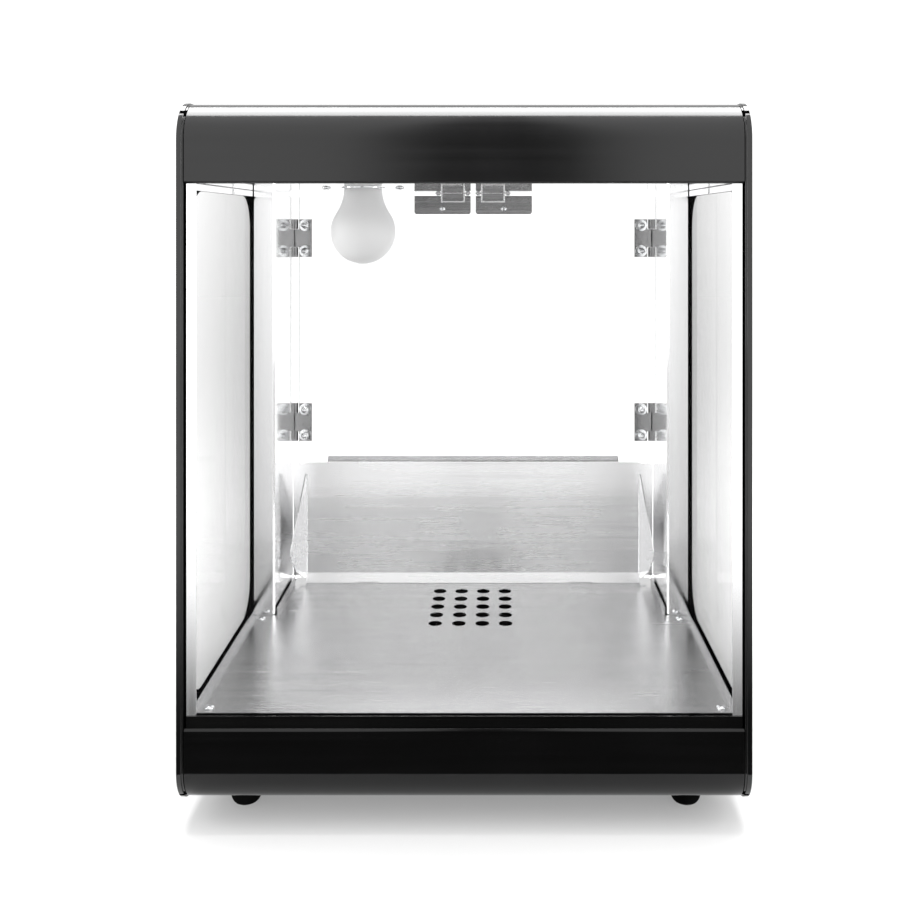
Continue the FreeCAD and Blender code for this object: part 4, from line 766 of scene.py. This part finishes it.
@dataclass(frozen=True)
class CrossScrew(Fastener):
    """Domed screw with a cross recess."""

    head_radius: float = 4.1
    rise: float = 2.3
    shank_radius: float = 1.9
    shank_length: float = 7.0
    point: Pair = (0.5, 0.6)
    recess: Triple = (0.56, 0.1, 0.35)
    draft: float = 0.72
    turns: tuple[float, ...] = (20.0, 62.0, 35.0, 8.0)

    def shape(self) -> Shape:
        """The screw, with its recess as shares of the head's radius and height."""
        radius, height = self.head_radius, self.rise
        shank, length = self.shank_radius, self.shank_length
        profile = [
            (0.0, height), (radius * 0.45, height * 0.96), (radius * 0.72, height * 0.82),
            (radius * 0.9, height * 0.58), (radius, height * 0.26), (radius, 0.0), (shank, 0.0),
            (shank, self.point[1] - length), (shank - self.point[0], -length), (0.0, -length),
        ]
        reach, half, low = (share * size * MM for share, size in zip(self.recess, (radius, radius, height)))
        top = height * 2 * MM
        spans = ((reach, half), (half, reach))
        arms = gathered([block((-x, -y, low), (x, y, top)) for x, y in spans])
        for vert in arms.verts:
            if vert.co.z < height * MM:
                vert.co.xy = vert.co.xy * self.draft
        return cut_or_joined(turned(profile, 32), arms)


@dataclass(frozen=True)
class DomedNut(Fastener):
    """Closed nut: a chamfered hexagon with a dome."""

    flats: float = 7.0
    hexagon: float = 3.2
    rise: float = 8.0
    dome: float = 3.4
    chamfer: float = 0.3
    overlap: float = 0.4

    def shape(self) -> Shape:
        """The hexagon, joined with a dome of eight steps."""
        corner, depth = self.flats / math.sqrt(3.0) * MM, self.hexagon * MM
        prism = bmesh.new()
        bmesh.ops.create_cone(
            prism, cap_ends=True, segments=6, radius1=corner, radius2=corner, depth=depth,
        )
        bmesh.ops.translate(prism, vec=(0.0, 0.0, depth / 2), verts=prism.verts)
        softened(prism, self.chamfer)
        profile = [(0.0, self.overlap), (self.dome, self.overlap), (self.dome, self.rise - self.dome)]
        for step in range(1, 8):
            angle = math.radians(90.0 * step / 8)
            profile.append((self.dome * math.cos(angle), self.rise - self.dome * (1 - math.sin(angle))))
        profile.append((0.0, self.rise))
        return cut_or_joined(prism, turned(profile, 28), "UNION")


@dataclass(frozen=True)
class Washer(Fastener):
    """Flat washer with broken edges."""

    outer: float = 6.75
    inner: float = 2.3
    rise: float = 1.0
    broken: Pair = (0.25, 0.3)

    def shape(self) -> Shape:
        """The washer, with a smaller chamfer at its seat."""
        under, over = self.broken
        return turned([
            (self.inner, 0.0), (self.outer - under, 0.0), (self.outer, under),
            (self.outer, self.rise - over), (self.outer - over, self.rise), (self.inner, self.rise),
        ], 40, True)


COVER_SCREW = CrossScrew(rise=0.9, shank_length=6.0)
SOFFIT_SCREW = CrossScrew(shank_length=6.0)
TRAY_SCREW = CrossScrew()
FOOT_SCREW = CrossScrew(4.2, 3.0, 2.4, 9.0)
DOOR_BOLT = CrossScrew(3.8, 2.4, 2.0, 9.2)
HINGE_SCREW = CrossScrew(3.8, 2.4, 1.9, 6.0)
CATCH_SCREW = CrossScrew(3.6, 1.4, 1.9, 5.2)
EAR_SCREW = CrossScrew(2.2, 1.5, 1.2, 2.4)


# Sub-assemblies

SIDES = ("left", "right")
CEILING = 522.0
LAMP_AT = (-98.0, 142.0)
FINE = 3
ROUND_CREASE = 60.0


@dataclass(frozen=True)
class SideWalls:
    """The two lacquered side frames with their panes."""

    rim_rounding: float = 0.9
    pane_rounding: float = 0.4
    rim: float = 8.0
    outer_share: float = 0.5

    def build(self) -> None:
        """Dresses both walls."""
        for side, outward in zip(SIDES, (-1.0, 1.0)):
            node = side + "_side_frame"
            wall = refined(node, self.rim_rounding, 4, FRAME_LACQUER)
            self.shade_inside(wall.data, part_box(node), outward)
            glazed(side + "_side_glass", self.pane_rounding)

    def shade_inside(self, wall: bpy.types.Mesh, box: tuple[Vector, Vector], outward: float) -> None:
        """Gives the faces within a wall's rim, but for its outer face, a dull black lacquer without
        reflections: painted shade on the enclosed inner faces.
        """
        wall.materials.append(INNER_SHADE_LACQUER.material())
        (_, front, low), (_, rear, high) = box
        rim = self.rim * MM
        for face in wall.polygons:
            _, y, z = face.center
            within = front + rim < y < rear - rim and low + rim < z < high - rim
            face.material_index = int(within and face.normal.x * outward < self.outer_share)


@dataclass(frozen=True)
class Hood:
    """Visor, lid, rear shell and polished ceiling."""

    edge: float = 0.3
    lamp_hole: float = 18.9

    def build(self) -> None:
        """Dresses the shells and the ceiling."""
        for node, segments in (("top_visor", FINE), ("rear_header", FINE), ("top_cover", 2)):
            refined(node, self.edge, segments, HOOD_LACQUER)
        COVER_SCREW.set_of("cover_screws", Way.UP, BLACK_PLASTIC)
        self.ceiling()

    def ceiling(self) -> None:
        """The polished ceiling, with a round hole for the lamp."""
        shape = copied("soffit")
        rounded_rims(shape, [(LAMP_AT[0] * MM, behind(LAMP_AT[1]))], self.lamp_hole, 2)
        softened(shape, self.edge)
        replaced("soffit", shape)


@dataclass(frozen=True)
class Lamp:
    """Frosted bulb with its ring, cap, holder and strap."""

    ball: float = 30.0
    centre: float = 481.1
    neck: float = 17.3
    shoulder: float = 45.0
    neck_top: float = 526.0
    collar: Pair = (13.0, 532.0)
    ring: Triple = (20.0, 18.0, 0.8)
    ring_fold: Pair = (0.2, 0.3)
    cap: Pair = (13.1, 18.0)
    cap_turns: int = 5
    cap_wave: float = 0.45
    contact: tuple[Pair, ...] = ((9.0, 1.6), (5.0, 2.4), (4.6, 4.0), (0.0, 4.0))
    holder: tuple[float, ...] = (20.0, 532.2, 555.5, 572.0)
    holder_bore: float = 13.6
    chamfer: float = 3.0
    groove: tuple[float, ...] = (9.0, 9.6, 11.0, 11.6, 0.6)
    strap_edge: float = 0.4

    def build(self) -> None:
        """Dresses the lamp."""
        place = (LAMP_AT[0] * MM, behind(LAMP_AT[1]), 0.0)
        for node, form, crease in (
            ("bulb", turned(self.bulb_profile(), 64), ROUND_CREASE),
            ("lamp_ring", turned(self.ring_profile(), 56, True), CREASE),
            ("bulb_cap", turned(self.cap_profile(), 40), ROUND_CREASE),
            ("lamp_holder", turned(self.holder_profile(), 48), CREASE),
        ):
            replaced(node, aimed(form, place, Way.UP), crease=crease)
        refined("lamp_bracket", self.strap_edge)
        SOFFIT_SCREW.set_of("soffit_screws", Way.DOWN)

    def bulb_profile(self) -> list[Pair]:
        """Radius and height of the bulb's points: a ball that runs into a waisted neck."""
        reach = self.ball + self.shoulder
        across = self.neck + self.shoulder
        join = math.acos(across / reach)
        waist = self.centre + reach * math.sin(join)
        points = []
        for step in range(25):
            angle = -math.pi / 2 + (join + math.pi / 2) * step / 24
            points.append((self.ball * math.cos(angle), self.centre + self.ball * math.sin(angle)))
        points[0] = (0.0, points[0][1])
        for step in range(1, 11):
            angle = join * (1 - step / 10)
            inward, down = self.shoulder * math.cos(angle), self.shoulder * math.sin(angle)
            points.append((across - inward, waist - down))
        points += [(self.neck, self.neck_top), self.collar, (0.0, self.collar[1])]
        return points

    def ring_profile(self) -> list[Pair]:
        """Radius and height of the points of the thin ring under the ceiling."""
        outer, inner, thick = self.ring
        near, far = self.ring_fold
        low = CEILING - thick
        return [
            (inner, CEILING), (inner, low + near), (inner + near, low), (outer - far, low),
            (outer, low + far), (outer, CEILING),
        ]

    def cap_profile(self) -> list[Pair]:
        """Radius and height of the screw cap's points, with its rolled turns and contact."""
        radius, length = self.cap
        start, steps = self.collar[1], self.cap_turns * 8
        points = [(0.0, start)]
        for step in range(steps + 1):
            wave = math.cos(math.tau * step / 8) * self.cap_wave
            points.append((radius - self.cap_wave + wave, start + length * step / steps))
        return points + [(across, start + length + up) for across, up in self.contact]

    def holder_profile(self) -> list[Pair]:
        """Radius and height of the points of the ceramic cup over the cap."""
        radius, low, floor, top = self.holder
        bore, chamfer = self.holder_bore, self.chamfer
        *ups, sunk = self.groove
        inner = radius - sunk
        groove = [(across, low + up) for across, up in zip((radius, inner, inner, radius), ups)]
        return [
            (0.0, floor), (bore, floor), (bore, low), (radius - chamfer, low), (radius, low + chamfer),
            *groove, (radius, floor), (radius - chamfer, top), (0.0, top),
        ]


@dataclass(frozen=True)
class Glazing:
    """Front pane between its posts, and the sill that it stands in."""

    edge: float = 0.25
    pane_edge: float = 0.3

    def build(self) -> None:
        """Dresses the front."""
        glazed("front_glass", self.pane_edge)
        for side in SIDES:
            refined(side + "_front_post", self.edge, finish=POST_STEEL)
        refined("front_sill", self.edge)


@dataclass(frozen=True)
class Base:
    """Fascia, pan, rear panel, feet and the tray over them."""

    edge: float = 0.3
    tray_edge: float = 0.15
    foot_radius: float = 13.3
    foot_flat: float = 0.6
    foot_bore: float = 2.8
    well: Pair = (4.9, 7.0)
    well_fold: float = 0.4
    foot_fold: Pair = (0.6, 0.8)
    hole_radius: float = 6.9
    hole_pitch: float = 23.45
    hole_columns: int = 4
    hole_rows: int = 5
    hole_depth: float = 264.0
    rim_top: float = 95.8

    def build(self) -> None:
        """Dresses the base."""
        refined("front_fascia", self.edge, FINE)
        refined("base_pan", self.edge, finish=BASE_LACQUER)
        refined("rear_base_panel", self.edge)
        self.floor()
        TRAY_SCREW.set_of("tray_screws", Way.UP)
        self.feet()
        FOOT_SCREW.set_of("foot_screws", Way.DOWN)

    def floor(self) -> None:
        """The brushed tray, with truly round air holes."""
        shape = copied("tray")
        centres = []
        for column in range(self.hole_columns):
            for row in range(self.hole_rows):
                x = (column - (self.hole_columns - 1) / 2) * self.hole_pitch
                y = (row - (self.hole_rows - 1) / 2) * self.hole_pitch
                centres.append((x * MM, behind(self.hole_depth + y)))
        rounded_rims(shape, centres, self.hole_radius, 4)
        for vert in shape.verts:
            vert.co.z = min(vert.co.z, self.rim_top * MM)
        softened(shape, self.tray_edge)
        replaced("tray", shape)

    def feet(self) -> None:
        """The domed rubber feet."""
        places = islands("feet")
        radius, high = self.foot_radius, places[0][1].z / MM
        (well, sink), fold = self.well, self.well_fold
        flat, bore = self.foot_flat, self.foot_bore
        profile = [(bore, sink), (well, sink), (well, fold), (well + fold, 0.0), (radius * flat, 0.0)]
        for step in range(1, 9):
            angle = math.radians(90.0 * step / 8)
            across = flat + (1 - flat) * math.sin(angle)
            profile.append((radius * across, high / 2 * (1 - math.cos(angle))))
        aside, down = self.foot_fold
        profile += [(radius, high - down), (radius - aside, high), (bore, high)]
        feet = []
        for low, top in places:
            middle = (low + top) / 2
            feet.append(aimed(turned(profile, 48, True), (middle.x, middle.y, 0.0), Way.UP))
        replaced("feet", gathered(feet))


@dataclass(frozen=True)
class Interior:
    """Rear columns and the folded crumb guard."""

    edge: float = 0.3
    flange_depth: float = 338.5
    flange_root: float = 186.0
    flange_end: float = 195.0
    flange_foot: float = 104.0
    flange_drop: float = 3.7
    flange_reach: float = 1.2

    def build(self) -> None:
        """Dresses the folded sheets."""
        for side in SIDES:
            refined(side + "_column", self.edge, FINE, COLUMN_STEEL)
        self.guard()

    def guard(self) -> None:
        """The guard, with flanges that come close to the columns and the tray."""
        shape = copied("guard")
        for vert in shape.verts:
            if vert.co.y > behind(self.flange_depth) and abs(vert.co.x) > self.flange_root * MM:
                if vert.co.z < self.flange_foot * MM:
                    vert.co.z -= self.flange_drop * MM
                if abs(vert.co.x) > self.flange_end * MM:
                    vert.co.x += math.copysign(self.flange_reach * MM, vert.co.x)
        softened(shape, self.edge, FINE)
        replaced("guard", shape, LIT_GUARD_STEEL)


@dataclass(frozen=True)
class Doors:
    """Clear rear doors with their hinges, plates and magnets."""

    edge: float = 0.35
    leaf_edge: float = 0.4
    pin_edge: float = 0.2
    catch_edge: float = 0.5
    case_edge: float = 0.25
    pole_edge: float = 0.12
    ear_edge: float = 0.3
    ear: Triple = (6.4, 8.0, 1.0)
    ear_turn: float = 30.0
    frame_width: float = 1.4
    recess: float = 0.6
    plate_gap: float = 0.2

    def build(self) -> None:
        """Dresses both doors."""
        for side in SIDES:
            glazed(side + "_door", self.edge)
            refined(side + "_door_leaves", self.leaf_edge, FINE, LEAF_STEEL)
            Washer().set_of(side + "_door_washers")
            DomedNut().set_of(side + "_door_nuts")
            DOOR_BOLT.set_of(side + "_door_bolts", Way.REAR)
            refined(side + "_catch_plate", self.catch_edge, FINE, CATCH_STEEL)
            CATCH_SCREW.set_of(side + "_catch_screw", Way.FRONT)
            self.magnet(side)
        refined("hinge_frame_leaves", self.leaf_edge, FINE, LEAF_STEEL)
        refined("hinge_pins", self.pin_edge)
        HINGE_SCREW.set_of("hinge_screws", Way.REAR)

    def magnet(self, side: str) -> None:
        """The magnet catch of one side: bright case, grey pole plate and its screwed ears."""
        node = side + "_magnet_catch"
        low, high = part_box(node)
        rim, sink = self.frame_width * MM, self.recess * MM
        case = block(low, high, self.case_edge)
        well = block((low.x + rim, low.y - sink, low.z + rim), (high.x - rim, low.y + sink, high.z + rim))
        replaced(node, cut_or_joined(case, well), CASE_STEEL)
        slack = self.plate_gap * MM
        plate = block(
            (low.x + rim + slack, low.y + sink / 2, low.z + rim + slack),
            (high.x - rim - slack, low.y + sink * 2, high.z - slack * 2), self.pole_edge)
        seated(side + "_pole_plate", plate, CATCH_STEEL, "cabinet")
        length, reach, thick = (value * MM for value in self.ear)
        centre, top = (low.y + high.y) / 2, CEILING * MM
        front, rear, under = centre - reach / 2, centre + reach / 2, top - thick
        ears, screws = [], []
        for start, end in ((low.x - length, low.x), (high.x, high.x + length)):
            ears.append(block((start, front, under), (end, rear, top), self.ear_edge))
            place = ((start + end) / 2, centre, under)
            screws.append(aimed(EAR_SCREW.shape(), place, Way.DOWN, self.ear_turn))
        seated(side + "_catch_ears", gathered(ears), CASE_STEEL, "cabinet")
        seated(side + "_ear_screws", gathered(screws), ZINC, "cabinet", (), FASTENER_CREASE)


@dataclass(frozen=True)
class Warmth:
    """Fan, duct and heating element under the floor holes."""

    edge: float = 0.3
    blade_edge: float = 0.25
    sheath_edge: float = 0.5

    def build(self) -> None:
        """Dresses the parts that make the warm air."""
        refined("fan_housing", self.edge)
        refined("fan_rotor", self.blade_edge, finish=BLACK_PLASTIC)
        # The duct takes painted shade, so that the floor holes look dark.
        refined("air_duct", self.edge, finish=DUCT_SHADE_SHEET)
        refined("heating_element", self.sheath_edge, FINE, crease=ROUND_CREASE)


@dataclass(frozen=True)
class Controls:
    """Knob, rocker switches, inlet and terminals at the rear."""

    sheet_edge: float = 0.35
    spindle_edge: float = 0.2
    knob_edge: float = 0.6
    edge: float = 0.3
    block_edge: float = 0.4

    def build(self) -> None:
        """Dresses the controls."""
        refined("thermostat", self.sheet_edge, finish=GALVANISED)
        refined("thermostat_spindle", self.spindle_edge, finish=CAP_METAL)
        refined("thermostat_knob", self.knob_edge, FINE)
        refined("switch_bezels", self.edge, finish=BLACK_PLASTIC)
        for name in ("heat_rocker", "light_rocker"):
            refined(name, self.edge, FINE, MATTE_PLASTIC)
        refined("power_inlet", self.edge, finish=BLACK_PLASTIC)
        refined("terminal_block", self.block_edge)


# Studio


@dataclass(frozen=True)
class SoftLight:
    """One studio light panel."""

    name: str
    place: Triple
    aim: Triple
    size: Pair
    power: float

    def hang(self) -> None:
        """Hangs the panel and points it."""
        lamp = bpy.data.lights.new(self.name, "AREA")
        lamp.shape = "RECTANGLE"
        lamp.size, lamp.size_y = self.size
        lamp.energy = self.power
        panel = placed(self.name, lamp)
        panel.location = self.place
        panel.rotation_euler = (Vector(self.aim) - Vector(self.place)).to_track_quat("-Z", "Y").to_euler()
        panel.visible_camera = False


@dataclass(frozen=True)
class Studio:
    """White studio: floor, soft lights and the camera of the photograph."""

    eye: Triple = (0.025, -1.045, 0.490)
    lens: float = 42.48
    shift: Pair = (-0.0439, -0.2563)
    floor_front: float = -0.261
    floor_reach: float = 6.0
    floor_tone: float = 0.45
    floor_rough: float = 0.7
    # Glow near the cabinet and further out; the near glow is painted light in the cabinet's shadow.
    floor_glow: Pair = (0.27, 0.55)
    glow_reach: Pair = (0.3, 0.9)
    backdrop: float = 1.25
    dim: float = 0.06
    softbox: float = 1.7
    softbox_aside: Pair = (0.06, 0.14)
    softbox_up: Pair = (-0.4, -0.27)
    rear_glow: float = 1.2
    rear_from: Pair = (-0.12, 0.06)
    sensor: float = 36.0
    clip: Pair = (0.01, 50.0)
    lights: tuple[SoftLight, ...] = (
        SoftLight("strip_panel", (0.0, 0.08, 1.38), (0.0, 0.08, 0.0), (1.4, 0.68), 42.0),
        SoftLight("left_panel", (-1.7, -0.5, 0.9), (0.0, 0.0, 0.35), (0.6, 1.6), 16.0),
        SoftLight("right_panel", (1.7, -0.5, 0.9), (0.0, 0.0, 0.35), (0.6, 1.6), 16.0),
    )

    def build(self) -> None:
        """Sets up the whole studio."""
        self.surroundings()
        self.floor()
        for light in self.lights:
            light.hang()
        self.camera()
        bpy.context.scene.view_settings.view_transform = "Standard"

    def surroundings(self) -> None:
        """White all round, dim where the camera stands, with a softbox at either side of it."""
        world = bpy.data.worlds.new("studio")
        bpy.context.scene.world = world
        board = Board(world)
        right, rear, up = board.fed("SeparateXYZ", Vector=board.place.outputs["Generated"]).outputs
        aside = board.joined(board.joined(right, 1.0, "ABSOLUTE"), board.joined(rear, -1.0), "DIVIDE")
        beside, above = board.span(aside, self.softbox_aside, WHOLE), board.span(up, self.softbox_up, WHOLE)
        front = board.span(board.joined(beside, above), WHOLE, (self.dim, self.softbox))
        behind_it = board.span(rear, self.rear_from, (0.0, self.rear_glow))
        strength = board.joined(front, behind_it, "MAXIMUM")
        around = board.fed("Background", Color=WHITE, Strength=strength)
        seen = board.fed("Background", Color=WHITE, Strength=self.backdrop)
        from_camera = board.add("LightPath").outputs["Is Camera Ray"]
        board.show(board.mixed(from_camera, around.outputs[0], seen.outputs[0]))

    def floor(self) -> None:
        """Plain pale table top that ends before the camera. It glows more with distance, which keeps the
        far top white; near the cabinet the glow is painted light that lifts its shadow.
        """
        shape = bmesh.new()
        bmesh.ops.create_grid(shape, x_segments=1, y_segments=1, size=self.floor_reach)
        for vert in shape.verts:
            vert.co.y = max(vert.co.y, self.floor_front)
        mesh = as_mesh(shape, "studio_floor")
        material = bpy.data.materials.new("studio_floor")
        board = Board(material)
        grain = board.noise(board.stretched(), 3.0, 2.0)
        far = board.add("VectorMath", operation="LENGTH")
        board.link(board.place.outputs["Object"], far.inputs[0])
        board.surface(
            Base_Color=board.blend(grain, grey(self.floor_tone), grey(self.floor_tone * 1.02)),
            Roughness=self.floor_rough, Emission_Color=WHITE,
            Emission_Strength=board.span(far.outputs["Value"], self.glow_reach, self.floor_glow),
        )
        mesh.materials.append(material)
        placed("studio_floor", mesh)

    def camera(self) -> None:
        """The camera at the photograph's viewing angle."""
        data = bpy.data.cameras.new("camera")
        data.lens = self.lens
        data.sensor_width = self.sensor
        data.shift_x, data.shift_y = self.shift
        data.clip_start, data.clip_end = self.clip
        eye = placed("camera", data)
        eye.location = self.eye
        eye.rotation_euler = (math.radians(90.0), 0.0, 0.0)
        bpy.context.scene.camera = eye


def main() -> None:
    """Builds every sub-assembly, then the studio around them."""
    logging.basicConfig(level=logging.INFO, format="%(name)s: %(message)s")
    for part in (SideWalls(), Hood(), Lamp(), Glazing(), Base(), Interior(), Doors(), Warmth(), Controls()):
        LOG.info("building %s", type(part).__name__)
        part.build()
    Studio().build()


if __name__ == "__main__":
    main()
